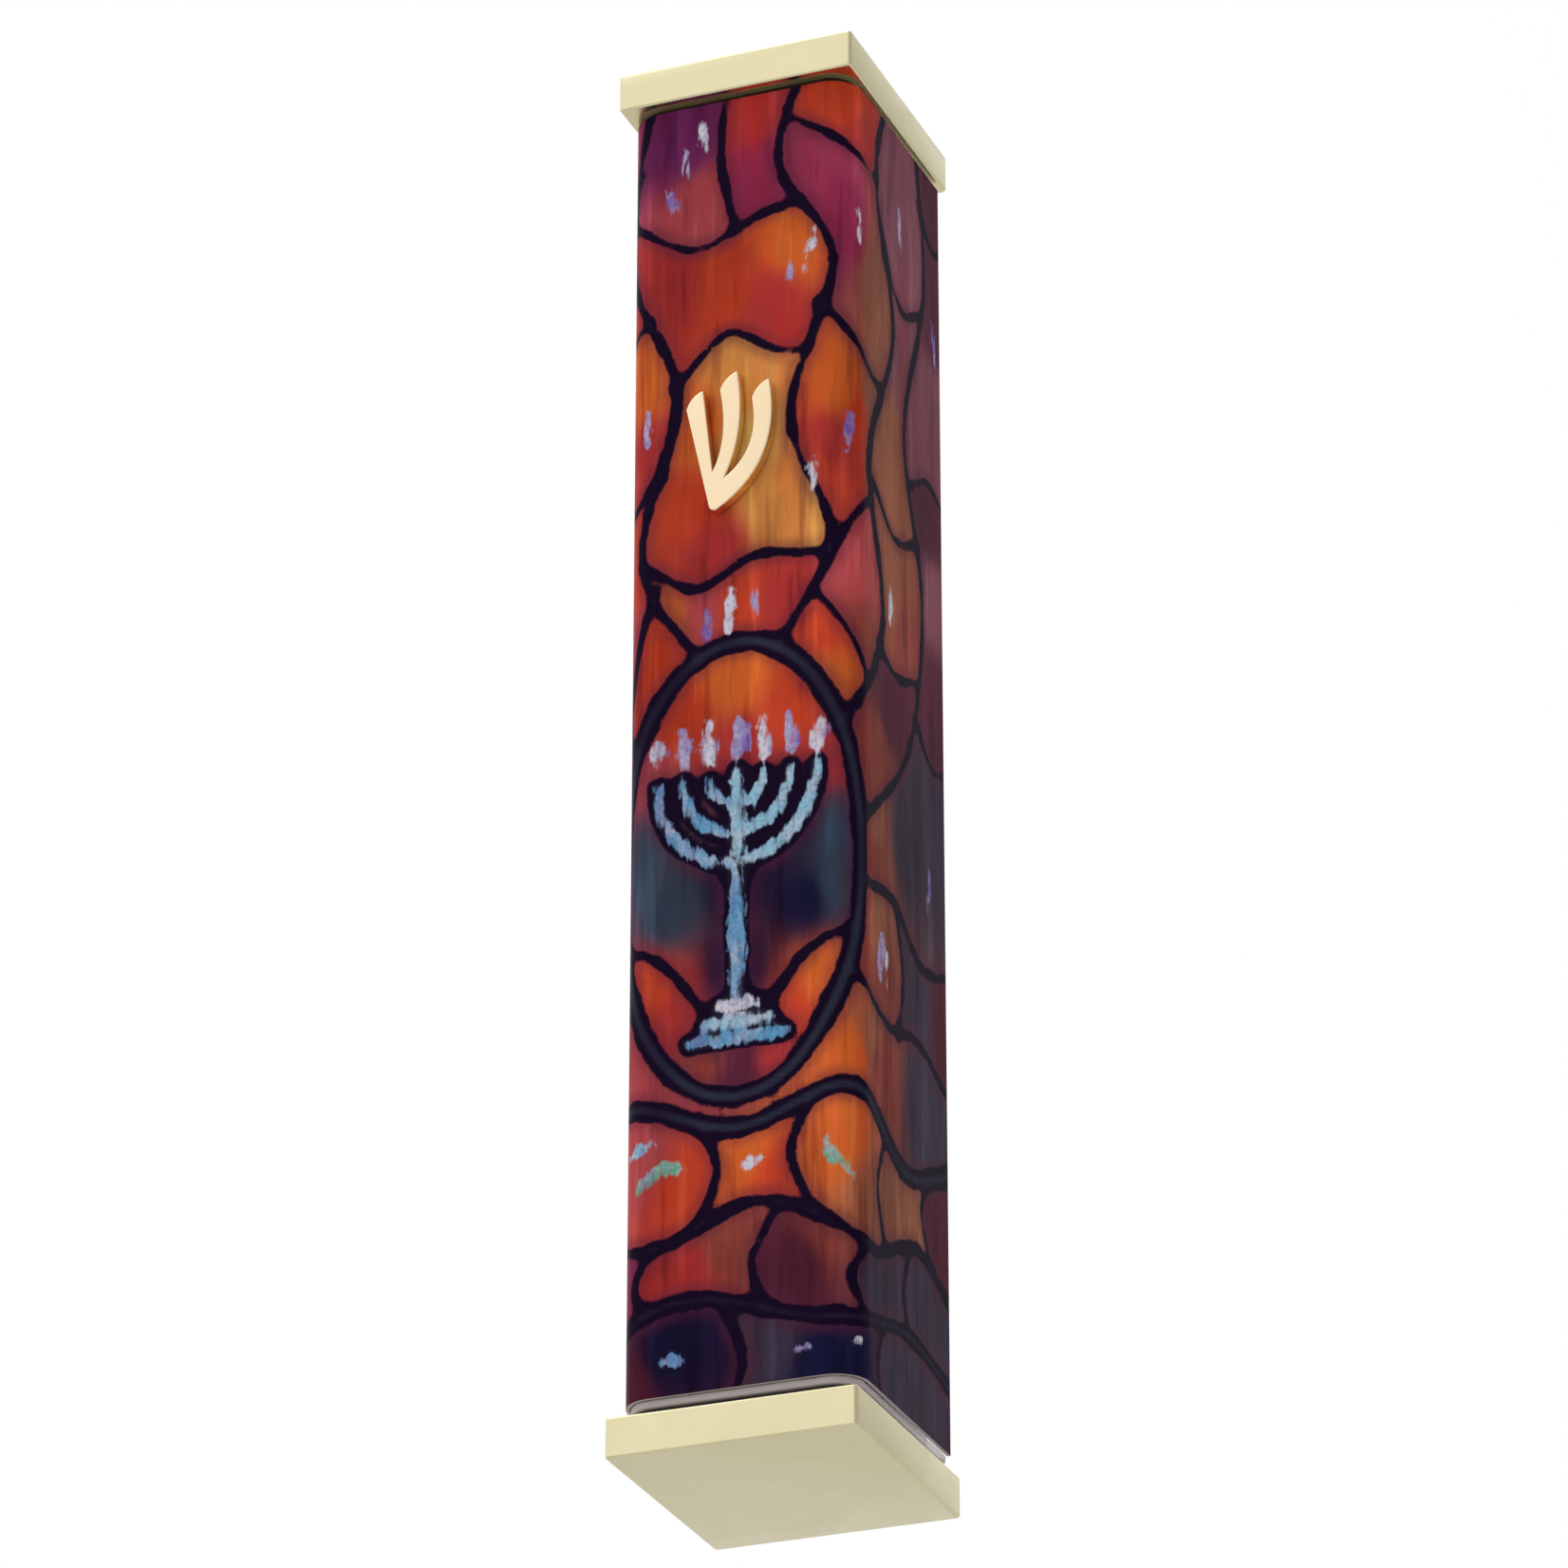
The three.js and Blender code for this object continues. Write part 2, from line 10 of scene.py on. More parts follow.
import bmesh
import bpy
import numpy as np
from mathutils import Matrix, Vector


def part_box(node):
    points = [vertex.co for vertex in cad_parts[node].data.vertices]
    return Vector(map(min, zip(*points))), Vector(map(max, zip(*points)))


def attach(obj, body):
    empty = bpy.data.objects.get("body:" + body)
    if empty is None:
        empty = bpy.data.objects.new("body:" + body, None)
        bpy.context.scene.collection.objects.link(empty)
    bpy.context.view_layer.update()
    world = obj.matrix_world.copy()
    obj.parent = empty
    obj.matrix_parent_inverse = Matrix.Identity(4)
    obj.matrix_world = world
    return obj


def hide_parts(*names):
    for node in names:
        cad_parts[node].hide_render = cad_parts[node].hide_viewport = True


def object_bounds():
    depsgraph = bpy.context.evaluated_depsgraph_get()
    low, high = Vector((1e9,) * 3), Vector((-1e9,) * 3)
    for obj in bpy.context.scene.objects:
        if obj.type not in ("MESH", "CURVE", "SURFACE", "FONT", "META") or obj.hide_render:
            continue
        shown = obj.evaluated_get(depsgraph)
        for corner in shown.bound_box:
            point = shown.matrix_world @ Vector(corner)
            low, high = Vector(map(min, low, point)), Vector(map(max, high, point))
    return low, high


bl_info = {
    "name": "Mezuzah case",
    "version": (1, 0, 0),
    "blender": (4, 5, 0),
    "location": "View3D > Sidebar > Mezuzah",
    "description": "Builds the visible pieces of a mezuzah case around its packed frame",
    "category": "Object",
}

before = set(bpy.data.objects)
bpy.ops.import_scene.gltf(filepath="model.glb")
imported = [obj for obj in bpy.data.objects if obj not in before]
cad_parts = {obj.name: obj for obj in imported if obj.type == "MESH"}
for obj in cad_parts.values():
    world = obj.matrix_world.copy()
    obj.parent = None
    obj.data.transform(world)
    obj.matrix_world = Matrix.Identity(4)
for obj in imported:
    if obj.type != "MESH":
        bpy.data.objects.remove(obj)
CAD_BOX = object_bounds()
MM = 0.001

CAP_LOW, CAP_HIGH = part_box("bottom_cap")
TOP_LOW, TOP_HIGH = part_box("top_cap")
COVER_LOW, COVER_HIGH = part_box("cover_shell")
PRINT_LOW, PRINT_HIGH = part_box("print_sheet")
SLEEVE_LOW, SLEEVE_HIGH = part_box("scroll_sleeve")
PAD_LOW, PAD_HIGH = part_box("wall_pad")
LETTER_LOW, LETTER_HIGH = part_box("emblem")
SLEEVE_AXIS = (SLEEVE_LOW + SLEEVE_HIGH) / 2
CASE_MIDDLE = (Vector(CAD_BOX[0]) + Vector(CAD_BOX[1])) / 2


# ---- settings ----

def length(name, about, default):
    return bpy.props.FloatProperty(
        name=name, description=about, default=default, min=0, unit="LENGTH", precision=5
    )


def colour(name, about, default):
    return bpy.props.FloatVectorProperty(
        name=name, description=about, default=default, subtype="COLOR", size=3, min=0, max=1
    )


class MezuzahSizes(bpy.types.PropertyGroup):
    body_bend: length("Body bend", "Outside radius of the film's two bends", 2.8 * MM)
    film: length("Film", "Thickness of the printed film", 0.3 * MM)
    cover_wall: length("Cover wall", "Thickness of the clear cover", 1.5 * MM)
    cover_edge: length("Cover edge", "Rounding of the cover's cut edges", 0.12 * MM)
    cap_plate: length("Cap plate", "Height of the gold plate of each cap", 3.4 * MM)
    cap_corner: length("Cap corner", "Rounding of the plates' upright edges", 0.35 * MM)
    cap_edge: length("Cap edge", "Rounding of the plates' level edges", 0.22 * MM)
    spigot_wall: length("Spigot wall", "Wall of the ring inside each cap", 1.2 * MM)
    letter_thickness: length("Letter thickness", "Thickness of the raised letter", 1.0 * MM)
    letter_edge: length("Letter edge", "Rounding of the letter's edges", 0.14 * MM)
    break_edge: length("Broken edge", "Rounding of the other pieces' edges", 0.08 * MM)


class MezuzahColours(bpy.types.PropertyGroup):
    gold: colour("Cap gold", "Pale gold plating of the caps", (0.80, 0.73, 0.46))
    letter_gold: colour("Letter gold", "Warmer plating of the letter", (0.95, 0.76, 0.50))
    lead: colour("Lead lines", "Dark lines between the panes", (0.010, 0.004, 0.018))
    lead_wash: colour("Lead wash", "Bluer tone within the wide dark lines", (0.045, 0.052, 0.085))
    film_core: colour("Film core", "The film's pale cut edges", (0.62, 0.55, 0.57))
    aluminium: colour("Aluminium", "The satin channel", (0.74, 0.75, 0.77))
    plastic: colour("Back plate", "The matt black back plate", (0.022, 0.022, 0.025))
    foam: colour("Wall pad", "The white adhesive foam", (0.78, 0.77, 0.73))
    # Seal black: real rubber, and also painted shade that darkens the gap under the cover.
    rubber_and_gap_shade: colour("Seals", "The black rubber of the seals", (0.010, 0.010, 0.011))
    parchment: colour("Parchment", "The rolled scroll", (0.72, 0.60, 0.40))
    floor: colour("Floor", "The pale floor", (0.80, 0.80, 0.79))


def sizes():
    return bpy.context.scene.mezuzah_sizes


def colours():
    return bpy.context.scene.mezuzah_colours


# ---- modelling helpers ----

def clear_selection():
    if bpy.context.mode != "OBJECT":
        bpy.ops.object.mode_set(mode="OBJECT")
    bpy.ops.object.select_all(action="DESELECT")


def make_active(piece):
    clear_selection()
    piece.select_set(True)
    bpy.context.view_layer.objects.active = piece


def named(name):
    piece = bpy.context.object
    piece.name = piece.data.name = name
    return piece


def settle():
    """Applies the picked object's place, turn and scale."""
    bpy.ops.object.transform_apply(location=True, rotation=True, scale=True)


def block(name, low, high):
    """A box between two corners, the start of most pieces."""
    clear_selection()
    low, high = Vector(low), Vector(high)
    bpy.ops.mesh.primitive_cube_add(size=1, location=(low + high) / 2, scale=high - low)
    settle()
    return named(name)


def round_bar(name, radius, foot, head, x, y, sides=64, ends="NGON"):
    """An upright round bar from foot to head, centred on x and y."""
    clear_selection()
    bpy.ops.mesh.primitive_cylinder_add(
        vertices=sides, radius=radius, depth=head - foot, end_fill_type=ends,
        location=(x, y, (foot + head) / 2),
    )
    settle()
    return named(name)


@contextlib.contextmanager
def editing(piece):
    make_active(piece)
    bpy.ops.object.mode_set(mode="EDIT")
    yield
    bpy.ops.object.mode_set(mode="OBJECT")


def spot(element):
    """The middle of an edge or a face, or the place of a vertex."""
    if isinstance(element, bmesh.types.BMFace):
        return element.calc_center_median()
    if isinstance(element, bmesh.types.BMEdge):
        return (element.verts[0].co + element.verts[1].co) / 2
    return element.co


def pick(kind, test):
    """Selects the edited mesh's vertices, edges or faces that pass the test."""
    bpy.ops.mesh.select_mode(type=kind)
    bpy.ops.mesh.select_all(action="DESELECT")
    mesh = bmesh.from_edit_mesh(bpy.context.edit_object.data)
    mesh.normal_update()
    elements = {"VERT": mesh.verts, "EDGE": mesh.edges, "FACE": mesh.faces}[kind]
    found = [element for element in elements if test(element)]
    for element in found:
        element.select_set(True)
    bmesh.update_edit_mesh(bpy.context.edit_object.data)
    if not found:
        raise RuntimeError(f"nothing to pick on {bpy.context.edit_object.name}")


def along(edge):
    return (edge.verts[1].co - edge.verts[0].co).normalized()


def upright(edge):
    return abs(along(edge).z) > 0.99


def facing(axis, sign):
    return lambda face: face.normal[axis] * sign > 0.99


def bevel_edges(test, offset, steps, profile=0.5):
    pick("EDGE", test)
    bpy.ops.mesh.bevel(offset=offset, segments=steps, profile=profile, affect="EDGES")


def extrude(rise):
    """Draws the picked faces out upwards, or downwards where rise is below 0."""
    bpy.ops.mesh.extrude_region_move(TRANSFORM_OT_translate={"value": (0, 0, rise)})


def scale_round(middle, share):
    """Scales what is picked towards the upright line through middle."""
    bpy.ops.transform.resize(value=(share, share, 1), center_override=(middle.x, middle.y, 0))


def apply_modifier(piece, kind, **settings):
    make_active(piece)
    modifier = piece.modifiers.new(kind.title(), kind)
    for key, value in settings.items():
        setattr(modifier, key, value)
    bpy.ops.object.modifier_apply(modifier=modifier.name)


def break_edges(piece, width, steps=2, angle=35):
    apply_modifier(
        piece, "BEVEL", width=width, segments=steps, limit_method="ANGLE",
        angle_limit=math.radians(angle), harden_normals=False, use_clamp_overlap=True,
    )


def thicken(piece, wall):
    apply_modifier(piece, "SOLIDIFY", thickness=wall, offset=-1, use_even_offset=True)


def cut(piece, tool, operation="DIFFERENCE"):
    """Cuts or joins tool into piece, and removes tool."""
    apply_modifier(piece, "BOOLEAN", object=tool, operation=operation, solver="EXACT")
    bpy.data.objects.remove(tool)


def outward(piece):
    with editing(piece):
        bpy.ops.mesh.select_all(action="SELECT")
        bpy.ops.mesh.remove_doubles(threshold=1e-6)
        bpy.ops.mesh.normals_make_consistent(inside=False)


def smooth(piece, angle=32):
    make_active(piece)
    bpy.ops.object.shade_smooth_by_angle(angle=math.radians(angle))


def done(piece, body, slot, material, *nodes):
    """Gives a finished piece its material and its body, and hides the nodes that it stands for."""
    piece.data.materials.clear()
    piece.data.materials.append(material)
    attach(piece, body)
    if nodes:
        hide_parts(*nodes)


def refined(node, name, edge, steps=2):
    """A copy of a node with its flat faces made whole and its edges broken."""
    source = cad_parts[node]
    piece = bpy.data.objects.new(name, source.data.copy())
    piece.data.name = name
    bpy.context.scene.collection.objects.link(piece)
    with editing(piece):
        bpy.ops.mesh.select_all(action="SELECT")
        bpy.ops.mesh.remove_doubles(threshold=2e-6)
        bpy.ops.mesh.dissolve_limited(angle_limit=math.radians(1))
    break_edges(piece, edge, steps, angle=50)
    smooth(piece, 40)
    return piece


def wrapped(name, low, high, bend, steps):
    """A thin skin over the front and both sides of a box, with its front corners bent."""
    skin = block(name, low, high)
    with editing(skin):
        pick("FACE", lambda face: face.normal.y > 0.5 or abs(face.normal.z) > 0.5)
        bpy.ops.mesh.delete(type="FACE")
        front = low[1]
        bevel_edges(lambda edge: upright(edge) and spot(edge).y < front + bend / 4, bend, steps)
    return skin


# ---- material helpers ----

class Recipe:
    """A node material in the making. Sockets and plain values can both be fed to an input."""

    def __init__(self, name):
        self.material = bpy.data.materials.new(name)
        self.material.use_nodes = True
        self.tree = self.material.node_tree
        self.surface = self.tree.nodes["Principled BSDF"]
        self.output = self.tree.nodes["Material Output"]

    def feed(self, socket, value):
        if isinstance(value, bpy.types.NodeSocket):
            self.tree.links.new(value, socket)
        elif socket.type == "RGBA" and len(value) == 3:
            socket.default_value = (*value, 1)
        else:
            socket.default_value = value

    def add(self, kind, inputs=None, **settings):
        made = self.tree.nodes.new("ShaderNode" + kind)
        for key, value in settings.items():
            setattr(made, key, value)
        for key, value in (inputs or {}).items():
            self.feed(made.inputs[key], value)
        return made

    def place(self, stretch=(1, 1, 1), turn=(0, 0, 0)):
        """Object coordinates, stretched and turned."""
        where = self.add("TexCoord").outputs["Object"]
        mapped = self.add("Mapping", {"Vector": where, "Scale": stretch, "Rotation": turn})
        return mapped.outputs["Vector"]

    def noise(self, scale, detail=4.0, stretch=(1, 1, 1), rough=0.55, warp=0.0, turn=(0, 0, 0)):
        values = {
            "Vector": self.place(stretch, turn), "Scale": scale, "Detail": detail,
            "Roughness": rough, "Distortion": warp,
        }
        return self.add("TexNoise", values).outputs["Fac"]

    def sums(self, operation, first, second=0.5, third=0.5):
        made = self.add("Math", operation=operation)
        for socket, value in zip(made.inputs, (first, second, third)):
            self.feed(socket, value)
        return made.outputs["Value"]

    def span(self, value, low, high, start=0.0, end=1.0, kind="LINEAR"):
        values = {
            "Value": value, "From Min": low, "From Max": high, "To Min": start, "To Max": end,
        }
        return self.add("MapRange", values, interpolation_type=kind).outputs["Result"]

    def mix(self, factor, first, second, mode="MIX"):
        made = self.add("Mix", data_type="RGBA", blend_type=mode)
        self.feed(made.inputs["Factor"], factor)
        self.feed(made.inputs[6], first)
        self.feed(made.inputs[7], second)
        return made.outputs[2]

    def attribute(self, name, output):
        return self.add("Attribute", attribute_name=name).outputs[output]

    def mirror_share(self, index, **inputs):
        """How much a clear wall mirrors by its angle, the same from both of its sides."""
        behind = self.add("NewGeometry").outputs["Backfacing"]
        values = {"IOR": self.span(behind, 0, 1, index, 1 / index), **inputs}
        return self.add("Fresnel", values).outputs["Fac"]

    def bump(self, height, strength, distance):
        values = {"Height": height, "Strength": strength, "Distance": distance}
        return self.add("Bump", values).outputs["Normal"]

    def blend(self, share, first, second):
        """Mixes the shaders of two nodes, or of a node and an earlier blend."""
        made = self.add("MixShader", {"Fac": share})
        self.feed(made.inputs[1], first.outputs[0])
        self.feed(made.inputs[2], second.outputs[0])
        return made

    def finish_shader(self, shader):
        """Ends a material whose own shaders stand in for the usual surface."""
        self.feed(self.output.inputs["Surface"], shader.outputs[0])
        self.tree.nodes.remove(self.surface)
        return self.material

    def finish(self, **inputs):
        for key, value in inputs.items():
            self.feed(self.surface.inputs[key.replace("_", " ")], value)
        return self.material


def gold_material(name, tone, stretch):
    """Polished plating with fine brushing along one way, faint smudges and small pits."""
    recipe = Recipe(name)
    brushing = recipe.noise(700, 3, stretch)
    smudge = recipe.noise(90, 5, warp=1.2)
    pits = recipe.noise(2600, 2)
    shade = recipe.mix(recipe.span(smudge, 0.35, 0.7), tone, [0.93 * part for part in tone])
    rough = recipe.sums("ADD", recipe.span(smudge, 0.3, 0.75, 0.13, 0.24),
                        recipe.span(brushing, 0.3, 0.7, 0.0, 0.09))
    height = recipe.sums("ADD", recipe.sums("MULTIPLY", brushing, 0.7),
                         recipe.sums("MULTIPLY", pits, 0.3))
    return recipe.finish(
        Base_Color=shade, Metallic=1.0, Roughness=rough,
        Normal=recipe.bump(height, 0.22, 0.00003),
    )


def clear_material():
    """Clear acrylic that mirrors by its angle, frosted on its cut edges and its bare lower strip."""
    recipe = Recipe("polished_clear_acrylic")
    smudge = recipe.noise(60, 4, (1, 1, 0.5), warp=0.8)
    hairlines = recipe.noise(900, 2, (1, 1, 0.03))
    gloss = recipe.add("BsdfGlossy", {
        "Roughness": recipe.sums("ADD", recipe.span(smudge, 0.35, 0.75, 0.02, 0.07),
                                 recipe.span(hairlines, 0.62, 0.8, 0.0, 0.05)),
    })
    see = recipe.add("BsdfTransparent", {"Color": (0.985, 0.99, 0.99)})
    sheen = recipe.blend(recipe.mirror_share(1.46), see, gloss)
    frost = recipe.add("BsdfPrincipled", {
        "Base Color": (0.66, 0.58, 0.60), "Roughness": 0.45, "Alpha": 0.85,
    })
    place = recipe.add("TexCoord")
    facing_way = recipe.add("SeparateXYZ", {"Vector": place.outputs["Normal"]})
    level = recipe.sums("ABSOLUTE", facing_way.outputs["Z"])
    height = recipe.add("SeparateXYZ", {"Vector": place.outputs["Object"]}).outputs["Z"]
    ragged = recipe.sums("MULTIPLY_ADD", recipe.noise(700, 3), 0.15 * MM, height)
    sawn = recipe.span(ragged, PRINT_LOW.z + 0.1 * MM, PRINT_LOW.z, 0, 0.9)
    frosted = recipe.sums("MAXIMUM", sawn, recipe.span(level, 0.55, 0.8))
    return recipe.finish_shader(recipe.blend(frosted, sheen, frost))


def sleeve_material():
    """Thin clear sleeve plastic with a slightly wavy gloss."""
    recipe = Recipe("clear_sleeve_plastic")
    waves = recipe.noise(220, 3, (1, 1, 0.4), warp=1.0)
    normal = recipe.bump(waves, 0.5, 0.0001)
    gloss = recipe.add("BsdfGlossy", {"Roughness": 0.12, "Normal": normal})
    see = recipe.add("BsdfTransparent", {"Color": (0.975, 0.985, 0.99)})
    share = recipe.sums("ADD", recipe.mirror_share(1.5, Normal=normal), 0.03)
    return recipe.finish_shader(recipe.blend(share, see, gloss))


def print_material():
    """Painted panes, dark lead lines and brush strokes, all from the film's own attributes."""
    recipe = Recipe("stained_glass_print")
    tones = colours()
    pane = recipe.attribute("pane_colour", "Color")
    lead = recipe.attribute("lead_edge", "Fac")
    dab = recipe.attribute("dab_edge", "Fac")
    dab_colour = recipe.attribute("dab_colour", "Color")
    soft = recipe.noise(95, 3, (1, 1, 0.55), warp=0.3)
    streak = recipe.noise(420, 4, (1, 1, 0.07))
    hair = recipe.noise(1500, 3, (1, 1, 0.05))
    hatch = recipe.noise(620, 3, (1, 1, 0.09), turn=(0.7, 0.8, 0))
    bristle = recipe.noise(1500, 4, (1, 1, 0.3), warp=0.4)
    grit = recipe.noise(2600, 3)
    ragged = recipe.noise(520, 5, warp=0.5)
    swell = recipe.noise(190, 1)

    shade = recipe.mix(1.0, pane, recipe.span(soft, 0.3, 0.7, 0.62, 1.18), "MULTIPLY")
    shade = recipe.mix(recipe.span(streak, 0.5, 0.72, 0, 0.6), shade, (1.18, 0.55, 0.45), "MULTIPLY")
    shade = recipe.mix(recipe.span(streak, 0.48, 0.3, 0, 0.28), shade, shade, "ADD")
    shade = recipe.mix(recipe.span(hatch, 0.56, 0.66, 0, 0.55), shade, (0.42, 0.30, 0.50), "MULTIPLY")
    shade = recipe.mix(recipe.span(hatch, 0.42, 0.32, 0, 0.45), shade, (1.5, 2.1, 2.0), "MULTIPLY")
    shade = recipe.mix(recipe.span(hair, 0.55, 0.8, 0, 0.35), shade, (0.55, 0.35, 0.45), "MULTIPLY")
    patina = recipe.sums("MULTIPLY", recipe.span(lead, 1.3, 0.0, 0, 0.6, "SMOOTHSTEP"),
                         recipe.span(ragged, 0.3, 0.7, 0.5, 1.0))
    glass = recipe.mix(patina, shade, (0.09, 0.018, 0.045))

    width = recipe.sums("MULTIPLY_ADD", recipe.sums("SUBTRACT", swell, 0.47), 0.7, lead)
    wobble = recipe.sums("MULTIPLY_ADD", recipe.sums("SUBTRACT", ragged, 0.5), 0.75, width)
    line = recipe.span(wobble, 0.12, -0.10, 0, 1, "SMOOTHSTEP")
    inner = recipe.span(lead, -0.45, -1.0, 0, 0.9)
    dark = recipe.mix(recipe.sums("MULTIPLY", inner, recipe.span(soft, 0.35, 0.6, 0.3, 1)),
                      tuple(tones.lead), tuple(tones.lead_wash))
    leaded = recipe.mix(line, glass, dark)

    brush = recipe.sums("MULTIPLY_ADD", recipe.sums("SUBTRACT", bristle, 0.5), 1.5, dab)
    brush = recipe.sums("MULTIPLY_ADD", recipe.sums("SUBTRACT", ragged, 0.5), 1.1, brush)
    cover = recipe.sums("MULTIPLY", recipe.span(brush, 0.10, -0.22, 0, 1, "SMOOTHSTEP"),
                        recipe.span(bristle, 0.72, 0.5, 0.45, 1))
    body = recipe.mix(recipe.span(ragged, 0.42, 0.62, 0, 0.55), dab_colour, (0.62, 0.60, 0.70))
    body = recipe.mix(recipe.span(streak, 0.5, 0.66, 0, 0.7), body, (0.16, 0.10, 0.34))
    body = recipe.mix(recipe.span(grit, 0.45, 0.75, 0, 0.55), body, (0.06, 0.07, 0.20))
    painted = recipe.mix(cover, leaded, body)

    level = recipe.add("SeparateXYZ", {"Vector": recipe.add("TexCoord").outputs["Normal"]})
    cut_edge = recipe.span(recipe.sums("ABSOLUTE", level.outputs["Z"]), 0.6, 0.8)
    finished = recipe.mix(cut_edge, painted, tuple(tones.film_core))
    return recipe.finish(
        Base_Color=finished, Roughness=recipe.span(bristle, 0.3, 0.7, 0.24, 0.34), IOR=1.05,
        Normal=recipe.bump(grit, 0.06, 0.00002),
    )


def grained_material(name, tone, rough, grain, strength, stretch=(1, 1, 1), metallic=0.0, mottle=1.0):
    """A plain material with fine grain in its tone, roughness and surface. mottle is from 0, even, to 1."""
    recipe = Recipe(name)
    grains = recipe.noise(grain, 4, stretch)
    blotch = recipe.noise(120, 5)
    darker, darkest = [0.78 * part for part in tone], [0.6 * part for part in tone]
    shade = recipe.mix(recipe.span(blotch, 0.35, 0.7, 0, mottle), tone, darker)
    shade = recipe.mix(recipe.span(grains, 0.45, 0.75, 0, 0.25 * mottle), shade, darkest)
    return recipe.finish(
        Base_Color=shade, Metallic=metallic,
        Roughness=recipe.span(grains, 0.3, 0.7, rough - 0.08, rough + 0.08),
        Normal=recipe.bump(grains, strength, 0.00008),
    )


def foam_material(name, tone):
    """Closed-cell foam: small round cells, darker in their hollow middles as painted shade, over a soft
    mottle.
    """
    recipe = Recipe(name)
    cells = recipe.add("TexVoronoi", {"Vector": recipe.place(), "Scale": 2200, "Randomness": 1.0})
    hollows = recipe.span(cells.outputs["Distance"], 0.0, 0.6)
    blotch = recipe.noise(200, 4)
    # Painted shade: each cell's hollow middle is darkened as if in shadow.
    shade = recipe.mix(recipe.span(hollows, 0.6, 0.05, 0, 0.4), tone, [0.55 * part for part in tone])
    shade = recipe.mix(recipe.span(blotch, 0.4, 0.7, 0, 0.3), shade, [0.85 * part for part in tone])
    return recipe.finish(
        Base_Color=shade, Roughness=0.92, Normal=recipe.bump(hollows, 0.35, 0.0001),
    )


def parchment_material():
    """Cream skin with mottling and faint browner fibres."""
    recipe = Recipe("rolled_parchment")
    tone = tuple(colours().parchment)
    mottle = recipe.noise(260, 6, warp=0.8)
    fibres = recipe.noise(1500, 3, (1, 1, 0.15))
    shade = recipe.mix(recipe.span(mottle, 0.35, 0.7), tone, [0.82 * part for part in tone])
    shade = recipe.mix(recipe.span(fibres, 0.58, 0.8, 0, 0.4), shade, (0.50, 0.36, 0.20))
    height = recipe.sums("ADD", recipe.sums("MULTIPLY", mottle, 0.6), fibres)
    return recipe.finish(
        Base_Color=shade, Roughness=recipe.span(mottle, 0.3, 0.7, 0.62, 0.78),
        Normal=recipe.bump(height, 0.35, 0.0001),
    )


# ---- the print's design, in millimetres on the unrolled sheet ----
# Across runs from the middle of the front, to the right; down runs from the sheet's upper edge.

GLASS = {
    "crimson": (0.32, 0.030, 0.090), "plum": (0.17, 0.022, 0.11), "red": (0.46, 0.040, 0.038),
    "rose": (0.50, 0.075, 0.085), "scarlet": (0.60, 0.060, 0.024), "orange": (0.68, 0.13, 0.026),
    "amber": (0.70, 0.27, 0.065), "gold": (0.68, 0.38, 0.11), "brick": (0.30, 0.060, 0.045),
    "mauve": (0.27, 0.085, 0.12), "umber": (0.36, 0.12, 0.065), "slate": (0.040, 0.058, 0.095),
    "indigo": (0.010, 0.009, 0.040), "wine": (0.10, 0.018, 0.040), "dusk": (0.055, 0.040, 0.070),
}
PAINT = {
    "white": (0.70, 0.66, 0.76), "lilac": (0.38, 0.30, 0.58), "sky": (0.13, 0.36, 0.60),
    "pale_sky": (0.30, 0.56, 0.72), "green": (0.08, 0.40, 0.18), "violet": (0.20, 0.09, 0.40),
}

HALO_MIDDLE = (0.0, 71.0)  # an oval pane that frames the lamp stand
HALO_REACH = (10.8, 20.0)
HALO_WIDTH = 1.9

